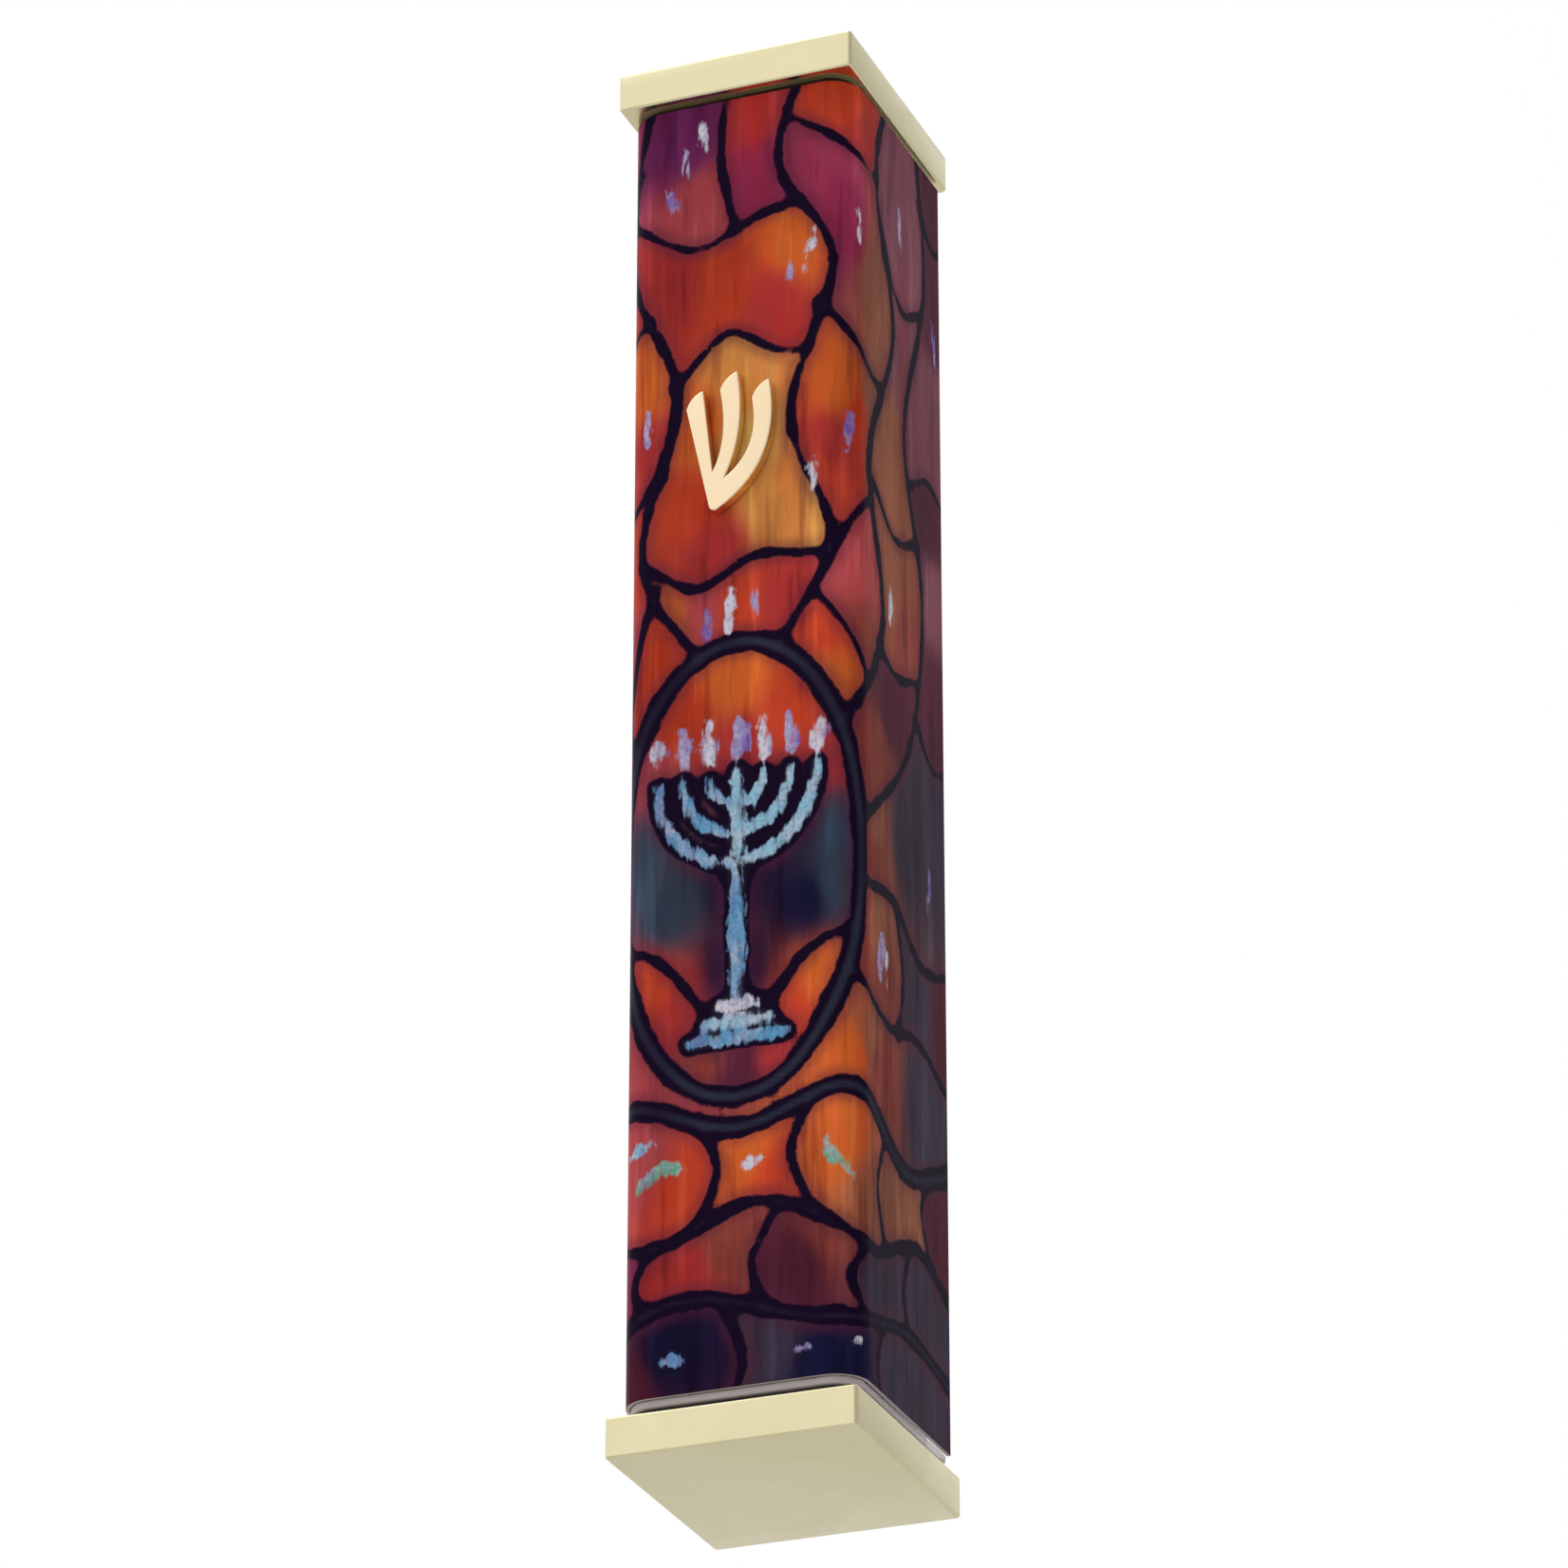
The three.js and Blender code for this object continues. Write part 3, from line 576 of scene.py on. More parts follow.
# Each lead line: its width, then the points that its curve passes through. Long flames rise from the oval,
# rays leave it on both sides, and three rolling hills lie under it.
LEADS = (
    (1.0, (-3.4, 52.2), (-8.6, 42), (-5.4, 27), (-10.6, 13), (-7.4, -3)),
    (0.9, (3.4, 52.2), (8.2, 43), (4.6, 31), (8.4, 17), (3.6, 7), (6, -3)),
    (1.1, (8.9, 59.6), (15.6, 48), (12.6, 34), (18.4, 20), (14.6, 7), (17.6, -3)),
    (1.1, (-8.9, 59.6), (-16.6, 47), (-13.2, 33), (-19.4, 18), (-15.6, 5), (-18.6, -3)),
    (0.9, (10.7, 68), (21.4, 57), (24.8, 42), (20.8, 28), (25.8, 12), (23.8, -3)),
    (0.9, (-10.7, 68), (-22, 58), (-25.2, 44), (-21.8, 26), (-26.8, 10), (-24.8, -3)),
    (0.8, (-9.8, 10.4), (-4, 13.8), (2, 11.6), (5, 11)),
    (0.8, (-5.6, 26.6), (-1, 22.4), (3.2, 24.6), (6, 25.2)),
    (0.8, (-8.4, 42.6), (-3.6, 45.6), (1.6, 43.4), (7.8, 44.2)),
    (0.7, (-0.8, -3), (-1.6, 5), (-0.4, 12.4)),
    (0.8, (7.2, 21), (11.8, 25.6), (15.6, 26.6)), (0.8, (8, 43.8), (11, 39.6), (13, 38)),
    (0.8, (5, 3), (10.4, 6.4), (14.6, 7)), (0.7, (-8.6, 5.4), (-12.4, 8.6), (-16, 7.8)),
    (0.8, (-8, 20), (-12.6, 22), (-18.2, 22.4)), (0.8, (-6.8, 34.6), (-10, 37.4), (-13.6, 36.4)),
    (0.8, (-10.4, 56.4), (-8.6, 49), (-7, 45)), (0.7, (6.6, 47.4), (9.4, 51), (11.8, 54.6)),
    (0.8, (16.6, 13.4), (20.6, 16.6), (25, 14.6)), (0.8, (13.6, 36), (18.4, 39), (24, 37)),
    (0.8, (14.6, 50.4), (18.6, 51.6), (23.4, 50)), (0.7, (22.6, 32), (26.4, 30), (31, 31.6)),
    (0.8, (24.6, 4), (27.6, 6.8), (31, 6)), (0.8, (23, 53.6), (26.8, 56.4), (31, 55.2)),
    (0.8, (-17.4, 12), (-21.8, 9), (-26.4, 11)), (0.8, (-15.6, 29), (-18.4, 33), (-22.6, 31)),
    (0.8, (-15.2, 50), (-19.4, 47.6), (-24.8, 48.8)), (0.7, (-24, 20), (-27.4, 22.4), (-31, 21)),
    (0.8, (-25, 40), (-28, 37.4), (-31, 38.6)), (0.8, (-23.6, 54), (-27.6, 58.6), (-31, 57.4)),
    (1.0, (10.8, 73), (17.4, 72.2), (24, 75.4), (31, 73.6)),
    (1.0, (-10.8, 74), (-18, 76), (-24.6, 73), (-31, 75)),
    (0.9, (9.4, 81), (15.8, 83.6), (23, 82.4), (31, 85)), (0.9, (-9.4, 81), (-16.6, 85), (-31, 84)),
    (0.8, (18, 72.2), (19.6, 78), (18.4, 83.6)), (0.8, (-22, 73.8), (-20.4, 79), (-22, 84.6)),
    (0.9, (-10.4, 76.4), (-6.4, 78.6), (-3, 83)), (0.9, (10.4, 77), (6, 79.4), (3, 83)),
    (1.8, (-31, 90), (-20, 93.6), (-10, 90.6), (0, 93.6), (10, 91), (20, 94.8), (31, 91)),
    (1.2, (-31, 101), (-18, 98.5), (-8, 103), (2, 100), (12, 104), (22, 100.5), (31, 103)),
    (1.5, (-31, 109.5), (-16, 111), (-4, 107.6), (8, 110.5), (20, 108.5), (31, 110)),
    (0.8, (-25, 92), (-23, 96), (-24, 99.6)), (0.8, (-13, 91), (-11.4, 96), (-13.4, 100.4)),
    (0.8, (-3, 93), (-1.6, 97), (-3.2, 101.4)), (0.8, (6.4, 92), (4.6, 96.4), (6.6, 101.6)),
    (0.8, (15.6, 93.2), (13.6, 98), (15, 103)), (0.8, (25, 93.4), (23.4, 97), (25.6, 101)),
    (0.8, (-19, 98.8), (-17, 104), (-18.6, 110.8)), (0.8, (-7, 102.8), (-8.8, 106), (-7.4, 108.4)),
    (0.8, (3.6, 100.6), (1.4, 105), (2.4, 109)), (0.8, (11.4, 103.8), (9.6, 107), (11, 110)),
    (0.8, (21, 100.8), (19.2, 105), (20.4, 108.6)),
    (0.8, (-11, 109.6), (-12.6, 113), (-11.6, 117)), (0.8, (-1, 108.6), (0.6, 113), (-0.4, 117)),
    (0.8, (15, 109.4), (13.4, 113), (14.6, 117)),
)

# Spots of colour: across, down, glass. The spots within one pane blend into each other.
SPOTS = (
    (-28, 2, "wine"), (-21, 4, "mauve"), (-13, 2, "crimson"), (-5, 3, "plum"), (2, 1, "red"),
    (3, 8, "crimson"), (-3, 10, "rose"), (9.4, 1, "scarlet"), (12, 5, "red"), (20, 5, "mauve"),
    (28, 2, "wine"),
    (-29, 14, "mauve"), (-22, 16, "crimson"), (-13, 15, "red"), (-10, 17, "scarlet"), (-6, 17, "red"),
    (-1, 18, "scarlet"), (5, 15, "orange"), (3, 20, "red"), (9.6, 14, "crimson"), (14, 17, "umber"),
    (21, 22, "mauve"), (28, 14, "wine"), (28, 22, "mauve"),
    (-29, 30, "crimson"), (-18, 26, "brick"), (-12, 28, "scarlet"), (-9, 26, "orange"), (-8, 32, "red"),
    (-4, 30, "orange"), (0, 27, "amber"), (1, 33, "gold"), (3, 38, "amber"), (-4, 38, "scarlet"),
    (-2, 42, "red"), (6, 36, "scarlet"), (9, 29, "orange"), (8, 34, "red"), (11, 31, "scarlet"),
    (13, 29, "umber"), (18, 31, "umber"), (28, 40, "mauve"), (27, 34, "wine"),
    (-29, 46, "brick"), (-20, 40, "red"), (-17, 42, "crimson"), (-11, 42, "scarlet"), (-12, 50, "rose"),
    (-6, 48, "orange"), (-8.6, 52, "scarlet"), (0, 48, "scarlet"), (-3, 48, "rose"), (4, 49, "red"),
    (7, 51, "scarlet"), (7.6, 56, "orange"), (10.6, 46, "rose"), (12, 50, "brick"), (18, 45, "umber"),
    (20, 47, "brick"), (17, 56, "wine"), (15, 60, "brick"), (28, 50, "wine"), (27, 62, "dusk"),
    (-18, 55, "brick"), (-14, 60, "crimson"), (-28, 52, "wine"), (-26, 66, "dusk"), (-18, 68, "wine"),
    (20, 66, "dusk"), (14, 67, "umber"), (13.6, 70, "brick"),
    (0, 54, "orange"), (-5, 58, "scarlet"), (5, 58, "scarlet"), (-7.6, 61, "rose"), (8, 62, "red"),
    (0, 61, "red"), (-5, 67, "slate"), (5, 67, "indigo"), (9, 69, "slate"), (-9, 69, "slate"),
    (-6, 74, "slate"), (0, 72, "indigo"), (6, 75, "indigo"), (8.6, 74, "slate"),
    (-7.6, 81, "scarlet"), (-5.4, 84, "red"), (7.6, 82, "orange"), (5.4, 85, "scarlet"),
    (0, 80, "indigo"), (0, 89, "wine"), (-3, 88, "brick"), (4, 89, "red"),
    (14, 76, "umber"), (15, 80, "brick"), (23, 79, "dusk"), (29, 79, "wine"), (-15, 80, "brick"),
    (-26, 79, "wine"), (14, 88, "brick"), (12, 86, "umber"), (24, 88, "dusk"), (-13, 87, "red"),
    (-22, 89, "mauve"), (-28, 88, "wine"), (-9.6, 87, "rose"), (9.4, 88, "orange"),
    (-28, 96, "brick"), (-18, 95, "red"), (-8, 96, "rose"), (-5, 98, "scarlet"), (1, 96, "orange"),
    (3, 98, "scarlet"), (9, 97, "orange"), (11, 99, "umber"), (19, 97, "umber"), (28, 97, "wine"),
    (-24, 105, "wine"), (-12, 105, "crimson"), (-4, 105, "red"), (-1, 103, "brick"), (5, 106, "wine"),
    (8, 103, "brick"), (15, 106, "dusk"), (26, 106, "dusk"),
    (-20, 114, "indigo"), (-6, 112, "indigo"), (-9, 114, "wine"), (7, 114, "indigo"), (3, 112, "dusk"),
    (22, 113, "dusk"),
)

# Brush dabs: paint, width, then the points of the stroke.
DABS = (
    ("lilac", 0.9, (-5, 4), (-4.6, 6.6)), ("white", 0.8, (-3.2, 1.6), (-3, 4.2)),
    ("violet", 0.9, (-6.4, 7.6), (-5.6, 9.8)), ("white", 0.9, (6.6, 14), (6, 17.6)),
    ("lilac", 0.7, (4.6, 16.6), (4.4, 18.6)), ("violet", 0.9, (-12.6, 14), (-12.2, 18)),
    ("white", 0.8, (10.8, 11.6), (11, 14.6)), ("lilac", 0.8, (20, 7), (20.4, 11)),
    ("violet", 0.8, (28, 14), (28.4, 17.6)), ("lilac", 0.8, (-21, 18), (-20.8, 22)),
    ("white", 0.8, (6.4, 35.4), (6.6, 38.6)), ("violet", 0.9, (9.8, 31.4), (9.4, 34.8)),
    ("lilac", 0.9, (-8.2, 28.6), (-8, 31.4)), ("white", 0.7, (-11.2, 31), (-11, 33.6)),
    ("white", 1.0, (-0.6, 46.2), (-0.8, 49.8)), ("lilac", 0.8, (1.4, 46), (1.6, 49)),
    ("violet", 0.9, (-2.8, 47.6), (-2.6, 50)), ("white", 0.8, (17.6, 44), (17, 47.6)),
    ("lilac", 0.8, (-20.6, 40), (-20.2, 44.4)), ("violet", 0.8, (26, 66), (25.6, 70)),
    ("lilac", 1.1, (14.8, 76), (14.4, 80)), ("white", 0.7, (16, 77.4), (15.8, 80.8)),
    ("white", 0.9, (-15, 78), (-14.8, 81.4)), ("violet", 0.9, (-16.6, 79.4), (-16.2, 82)),
    ("green", 1.3, (-8.4, 97.6), (-6.4, 96.2), (-4.6, 96.4)), ("pale_sky", 0.9, (-9.6, 94.6), (-7, 94)),
    ("green", 1.2, (9.6, 98.6), (8, 97), (7.6, 95.4)), ("white", 0.8, (0.4, 97), (2.6, 96.4)),
    ("sky", 0.9, (-6, 112.4), (-4.6, 112.6)), ("lilac", 0.6, (5, 113), (6.2, 112.8)),
    ("white", 0.6, (9.6, 112.4), (10.4, 112.2)), ("sky", 0.8, (-14, 105), (-12, 104.4)),
)

LAMP_MIDDLE = 0.0  # the lamp stand's stem
LAMP_TOP = 63.0
LAMP_REACH = (2.3, 4.6, 6.9)  # radii of its three pairs of arms
LAMP_SAG = 1.1  # how deep an arm hangs for its radius
LAMP_FOOT = 86.5
FOOT_STEPS = (("white", 1.5), ("pale_sky", 2.7), ("sky", 4.0))  # paint and half width, from the top
FLAME_HEIGHT = 3.2


def halo():
    """The oval's lead line."""
    turns = [2 * math.pi * step / 24 for step in range(25)]
    oval = [
        (HALO_MIDDLE[0] + HALO_REACH[0] * math.sin(turn), HALO_MIDDLE[1] + HALO_REACH[1] * math.cos(turn))
        for turn in turns
    ]
    return (HALO_WIDTH, *oval)


def lamp_stand():
    """Dabs for a plain seven-armed lamp stand on a stepped foot."""
    made = []
    for reach in LAMP_REACH:
        turns = [math.pi * step / 12 for step in range(13)]
        arm = [
            (LAMP_MIDDLE + reach * math.cos(turn), LAMP_TOP + LAMP_SAG * reach * math.sin(turn))
            for turn in turns
        ]
        width = 0.85 + 0.05 * reach
        made.append(("pale_sky", width, *arm[:7]))
        made.append(("sky", width, *arm[6:]))
    stem = LAMP_MIDDLE
    made.append(("pale_sky", 1.3, (stem, LAMP_TOP - 0.4), (stem, LAMP_TOP + 9)))
    made.append(("sky", 1.5, (stem, LAMP_TOP + 9), (stem, LAMP_FOOT - 4)))
    for step, (paint, width) in enumerate(FOOT_STEPS):
        down = LAMP_FOOT - 3.4 + 1.4 * step
        made.append((paint, 1.3, (stem - width, down), (stem + width, down)))
    return tuple(made)


def flames():
    """A pale flame with a shadow stroke over each arm and over the stem."""
    made = []
    for step in range(-3, 4):
        across = LAMP_MIDDLE + step * LAMP_REACH[2] / 3
        foot = LAMP_TOP - 1.5
        lean = 0.2 * math.sin(2.3 * step + 1)
        rise = FLAME_HEIGHT * (1.1 - 0.04 * step ** 2)
        made.append(("violet", 0.5, (across + lean + 0.7, foot - rise + 0.8), (across + 0.6, foot - 0.6)))
        made.append(("white" if step % 2 else "lilac", 1.25, (across + lean, foot - rise), (across, foot)))
    return tuple(made)


RASTER = 0.25  # spacing of the design's raster
FAR = 6.0  # distances are measured this far
HALF_SHEET = 30.0  # the raster reaches this far to each side
JOINT = 0.9  # reach of the fillets where lead lines meet
OUTLINE = 0.45  # dark border round the lamp stand's strokes


def curve_points(knots, steps=8):
    """Points on a smooth curve through the knots (Catmull-Rom)."""
    knots = np.array(knots, float)
    padded = np.vstack([2 * knots[0] - knots[1], knots, 2 * knots[-1] - knots[-2]])
    made = []
    for before, start, end, after in zip(padded, padded[1:], padded[2:], padded[3:]):
        for t in np.arange(steps) / steps:
            made.append(0.5 * (
                2 * start + (end - before) * t
                + (2 * before - 5 * start + 4 * end - after) * t ** 2
                + (3 * start - before - 3 * end + after) * t ** 3
            ))
    made.append(knots[-1])
    return np.array(made)


class Design:
    """The print on a raster: how far each place is from a lead line and a dab, and its colours."""

    def __init__(self, height):
        self.across = np.arange(-HALF_SHEET, HALF_SHEET + RASTER, RASTER)
        self.down = np.arange(-1.0, height + 1 + RASTER, RASTER)
        self.shape = (len(self.down), len(self.across))
        self.lead_edge = np.full(self.shape, FAR)
        self.dab_edge = np.full(self.shape, FAR)
        self.dab_colour = np.zeros((*self.shape, 3))
        for width, *knots in LEADS + (halo(),):
            self.draw_lead(width, knots)
        self.pane_colour = self.panes()
        for paint, width, *knots in DABS + flames() + lamp_stand():
            self.draw_dab(paint, width, knots)
        for paint, width, *knots in lamp_stand():
            self.draw_lead(width + 2 * OUTLINE, knots)

    def apart(self, width, knots, taper):
        """Distance of each place from a stroke's edge; a tapered stroke is thinner at its ends."""
        points = curve_points(knots)
        near = np.full(self.shape, FAR)
        shares = (np.arange(len(points) - 1) + 0.5) / (len(points) - 1)
        for share, start, end in zip(shares, points, points[1:]):
            low, high = np.minimum(start, end) - FAR, np.maximum(start, end) + FAR
            columns = slice(*np.searchsorted(self.across, (low[0], high[0])))
            rows = slice(*np.searchsorted(self.down, (low[1], high[1])))
            x = self.across[columns][None, :] - start[0]
            y = self.down[rows][:, None] - start[1]
            step = end - start
            t = np.clip((x * step[0] + y * step[1]) / (step @ step + 1e-12), 0, 1)
            half = width / 2 * (1 - taper * abs(2 * share - 1) ** 2)
            distance = np.hypot(x - t * step[0], y - t * step[1]) - half
            near[rows, columns] = np.minimum(near[rows, columns], distance)
        return near

    def draw_lead(self, width, knots):
        """Adds a lead line, with a fillet where it meets the others."""
        near, field = self.apart(width, knots, 0.0), self.lead_edge
        blend = np.clip(0.5 + 0.5 * (near - field) / JOINT, 0, 1)
        self.lead_edge = near * (1 - blend) + field * blend - JOINT * blend * (1 - blend)

    def draw_dab(self, paint, width, knots):
        near = self.apart(width, knots, 0.45)
        nearer = near < self.dab_edge
        self.dab_edge = np.where(nearer, near, self.dab_edge)
        self.dab_colour[nearer] = PAINT[paint]

    def areas(self):
        """Numbers the areas that the leads close off, and grows them until they meet under the leads."""
        pane = np.zeros(self.shape, int)
        glass = self.lead_edge > 0
        rows, columns = self.shape
        found = 0
        for row, column in zip(*np.nonzero(glass)):
            if pane[row, column]:
                continue
            found += 1
            pane[row, column] = found
            edge = [(row, column)]
            while edge:
                r, c = edge.pop()
                for near in ((r + 1, c), (r - 1, c), (r, c + 1), (r, c - 1)):
                    inside = 0 <= near[0] < rows and 0 <= near[1] < columns
                    if inside and glass[near] and not pane[near]:
                        pane[near] = found
                        edge.append(near)
        while not pane.all():
            for axis, step in ((0, 1), (0, -1), (1, 1), (1, -1)):
                shifted = np.roll(pane, step, axis)
                pane = np.where(pane == 0, shifted, pane)
        return pane

    def panes(self):
        """Colour of each place: the spots within its own pane blend."""
        pane = self.areas()
        rows, columns = self.shape
        spots = []
        for across, down, glass_name in SPOTS:
            row = int(np.clip(np.searchsorted(self.down, down), 0, rows - 1))
            column = int(np.clip(np.searchsorted(self.across, across), 0, columns - 1))
            spots.append((across, down, GLASS[glass_name], pane[row, column]))
        total = np.zeros((*self.shape, 3))
        weight = np.full(self.shape, 1e-9)
        for across, down, tone, label in spots:
            apart = (self.across[None, :] - across) ** 2 + ((self.down[:, None] - down) * 0.8) ** 2
            share = (apart + 0.6) ** -2.2 * np.where(pane == label, 1.0, 1e-5)
            total += share[..., None] * np.array(tone)
            weight += share
        return total / weight[..., None]

    def read(self, field, across, down):
        """The field's values at these places, from the four raster points round each."""
        column = np.clip((across - self.across[0]) / RASTER, 0, self.shape[1] - 1.001)
        row = np.clip((down - self.down[0]) / RASTER, 0, self.shape[0] - 1.001)
        c, r = column.astype(int), row.astype(int)
        fc, fr = column - c, row - r
        if field.ndim == 3:
            fc, fr = fc[:, None], fr[:, None]
        upper = field[r, c] * (1 - fc) + field[r, c + 1] * fc
        lower = field[r + 1, c] * (1 - fc) + field[r + 1, c + 1] * fc
        return upper * (1 - fr) + lower * fr


def unrolled(points, low, high, bend):
    """Across and down on the flat sheet, in millimetres, for points on its bent outer face."""
    flat = high.x - bend
    side = np.sign(points[:, 0])
    x, y = np.abs(points[:, 0]), points[:, 1]
    turn = np.arctan2(np.clip(x - flat, 0, None), np.clip(low.y + bend - y, 1e-9, None))
    on_side = y >= low.y + bend
    on_bend = (x > flat) & ~on_side
    across = np.where(on_side, flat + bend * math.pi / 2 + (y - low.y - bend), x)
    across = np.where(on_bend, flat + bend * turn, across)
    return side * across / MM, (high.z - points[:, 2]) / MM


def paint_sheet(sheet, low, high, bend):
    """Stores the design on the sheet's vertices as attributes that its material reads."""
    mesh = sheet.data
    points = np.zeros(len(mesh.vertices) * 3)
    mesh.vertices.foreach_get("co", points)
    across, down = unrolled(points.reshape(-1, 3), low, high, bend)
    design = Design((high.z - low.z) / MM)
    for name in ("lead_edge", "dab_edge"):
        values = design.read(getattr(design, name), across, down)
        mesh.attributes.new(name, "FLOAT", "POINT").data.foreach_set("value", values)
    for name in ("pane_colour", "dab_colour"):
        tones = design.read(getattr(design, name), across, down)
        tones = np.hstack([tones, np.ones((len(tones), 1))])
        mesh.attributes.new(name, "FLOAT_COLOR", "POINT").data.foreach_set("color", tones.ravel())


# ---- pieces ----

def make_cover():
    own = sizes()
    bend = own.body_bend - (PRINT_HIGH.x - COVER_HIGH.x)
    cover = wrapped("clear_cover", COVER_LOW, COVER_HIGH, bend, 20)
    thicken(cover, own.cover_wall)
    break_edges(cover, own.cover_edge, 3)
    smooth(cover)
    done(cover, "case", "clear_acrylic", clear_material(), "cover_shell")


ROWS = (11, 23)  # cuts up the sheet, in two passes: 288 rows
FRONT_CUTS, SIDE_CUTS = 36, 44


def make_print():
    own = sizes()
    bend = own.body_bend
    sheet = wrapped("printed_film", PRINT_LOW, PRINT_HIGH, bend, 12)
    flat = PRINT_HIGH.x - bend
    with editing(sheet):
        pick("EDGE", lambda edge: abs(along(edge).x) > 0.99 and edge.calc_length() > flat)
        bpy.ops.mesh.subdivide(number_cuts=FRONT_CUTS)
        pick("EDGE", lambda edge: abs(along(edge).y) > 0.99 and edge.calc_length() > flat)
        bpy.ops.mesh.subdivide(number_cuts=SIDE_CUTS)
        for cuts in ROWS:
            pick("EDGE", upright)
            bpy.ops.mesh.subdivide(number_cuts=cuts)
    paint_sheet(sheet, PRINT_LOW, PRINT_HIGH, bend)
    thicken(sheet, own.film)
    smooth(sheet, 50)
    done(sheet, "case", "colour_print", print_material(), "print_sheet")


BORE_HALF = 6.9 * MM  # half the bore's width
BORE_DEPTH = (-19.5 * MM, -5.7 * MM)  # the bore's front and back
TOP_FIT, BOTTOM_FIT = 0.15 * MM, 0.70 * MM  # the spigots' clearance to the bore
NOTCH = 2.9 * MM  # side of the corner notches that clear the screw posts
SPIGOT_HOLLOW = 0.8  # share of a spigot's height that is hollow
SEAT_PLAY = 0.1 * MM  # round each screw head
SEAT_DEPTH = 1.2 * MM
SEAT_NARROW = 0.55  # the screw's hole against its head
HOLE_DEPTH = 8 * MM  # enough to go through the cap and its spigot


def cap_plate(name, low_z, high_z):
    own = sizes()
    low = (CAP_LOW.x, CAP_LOW.y, low_z)
    high = (CAP_HIGH.x, CAP_HIGH.y, high_z)
    plate = block(name, low, high)
    with editing(plate):
        bevel_edges(upright, own.cap_corner, 5)
        bevel_edges(lambda edge: abs(along(edge).z) < 0.01 and edge.is_manifold
                    and edge.calc_face_angle() > 1.2, own.cap_edge, 4)
    return plate


def spigot(name, node_low, node_high, foot, head, mouth):
    """The notched ring on a cap that plugs into the case. mouth is +1 where its open end is up."""
    own = sizes()
    ring = block(name, (node_low.x, node_low.y, foot), (node_high.x, node_high.y, head))
    with editing(ring):
        bevel_edges(lambda edge: upright(edge) and spot(edge).y < SLEEVE_AXIS.y, NOTCH, 2, 0.0)
        pick("FACE", facing(2, mouth))
        bpy.ops.mesh.inset(thickness=own.spigot_wall)
        extrude(-mouth * (head - foot) * SPIGOT_HOLLOW)
    return ring


def bore_box(fit):
    low = Vector((-BORE_HALF + fit, BORE_DEPTH[0] + fit, 0))
    high = Vector((BORE_HALF - fit, BORE_DEPTH[1] - fit, 0))
    return low, high


def screw_seat(low, high):
    """A cutter for one screw's hole: straight above, a cone for the head, and a bore for the shank."""
    middle, head = (low + high) / 2, (high.x - low.x) / 2 + SEAT_PLAY
    seat = round_bar("seat", head, high.z - SEAT_DEPTH, high.z + 1 * MM, middle.x, middle.y)
    with editing(seat):
        pick("VERT", lambda vertex: vertex.co.z > high.z)
        bpy.ops.transform.translate(value=(0, 0, -0.9 * MM))  # the cone ends just over the cap's face
        pick("FACE", facing(2, 1))
        extrude(1 * MM)
        pick("FACE", facing(2, -1))
        scale_round(middle, SEAT_NARROW)
        extrude(-HOLE_DEPTH)
    return seat


def make_caps():
    own = sizes()
    tones = colours()
    gold = gold_material("pale_gold_plating", tuple(tones.gold), (0.04, 1, 1))
    face = CAP_LOW.z + own.cap_plate
    plate = cap_plate("bottom_cap_gold", CAP_LOW.z, face)
    low, high = bore_box(BOTTOM_FIT)
    cut(plate, spigot("bottom_spigot", low, high, face - own.cap_plate / 4, CAP_HIGH.z, 1), "UNION")
    outward(plate)
    smooth(plate)
    done(plate, "bottom_cap", "cap_gold", gold, "bottom_cap")

    face = TOP_HIGH.z - own.cap_plate
    plate = cap_plate("top_cap_gold", face, TOP_HIGH.z)
    low, high = bore_box(TOP_FIT)
    cut(plate, spigot("top_spigot", low, high, TOP_LOW.z, face + own.cap_plate / 4, -1), "UNION")
    for side in ("left", "right"):
        low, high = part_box(f"top_cap_screw_{side}")
        cut(plate, screw_seat(low, high))
    outward(plate)
    smooth(plate)
    done(plate, "case", "cap_gold", gold, "top_cap")


SCREW_HEAD, SCREW_POINT, SCREW_CORE = 1.1 * MM, 1.0 * MM, 0.8 * MM
SCREW_RIDGES, SCREW_GROOVE = 9, 0.82  # ridges on the shank, and how much thinner it is between them
SCREW_TIP = 0.3  # the point's blunt end against the shank
SLOT_HALF, SLOT_DEPTH, SLOT_REACH = 0.25 * MM, 0.5 * MM, 3 * MM


def make_screws():
    """Countersunk slotted screws: a tapered head, a thinner shank with ridges, and a blunt point."""
    tone = tuple(colours().gold)
    gold = gold_material("screw_gold_plating", tone, (1, 1, 0.05))
    for side in ("left", "right"):
        node = f"top_cap_screw_{side}"
        low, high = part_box(node)
        middle = (low + high) / 2
        head = (high.x - low.x) / 2
        screw = round_bar(f"{node}_gold", head, high.z - SCREW_HEAD, high.z, middle.x, middle.y, 48)
        with editing(screw):
            pick("FACE", facing(2, -1))
            shrink = SCREW_CORE / head
            scale_round(middle, shrink)
            pitch = (high.z - SCREW_HEAD - low.z - SCREW_POINT) / (2 * SCREW_RIDGES)
            for number in range(2 * SCREW_RIDGES):
                extrude(-pitch)
                step = SCREW_GROOVE if number % 2 == 0 else 1 / SCREW_GROOVE
                scale_round(middle, step)
            extrude(-SCREW_POINT)
            scale_round(middle, SCREW_TIP)
        reach = Vector((SLOT_HALF, SLOT_REACH, SLOT_DEPTH))
        top = Vector((middle.x, middle.y, high.z))
        cut(screw, block("slot", top - reach, top + reach))
        outward(screw)
        break_edges(screw, width=0.05 * MM, steps=2, angle=50)
        smooth(screw, 40)
        done(screw, "case", "cap_gold", gold, node)


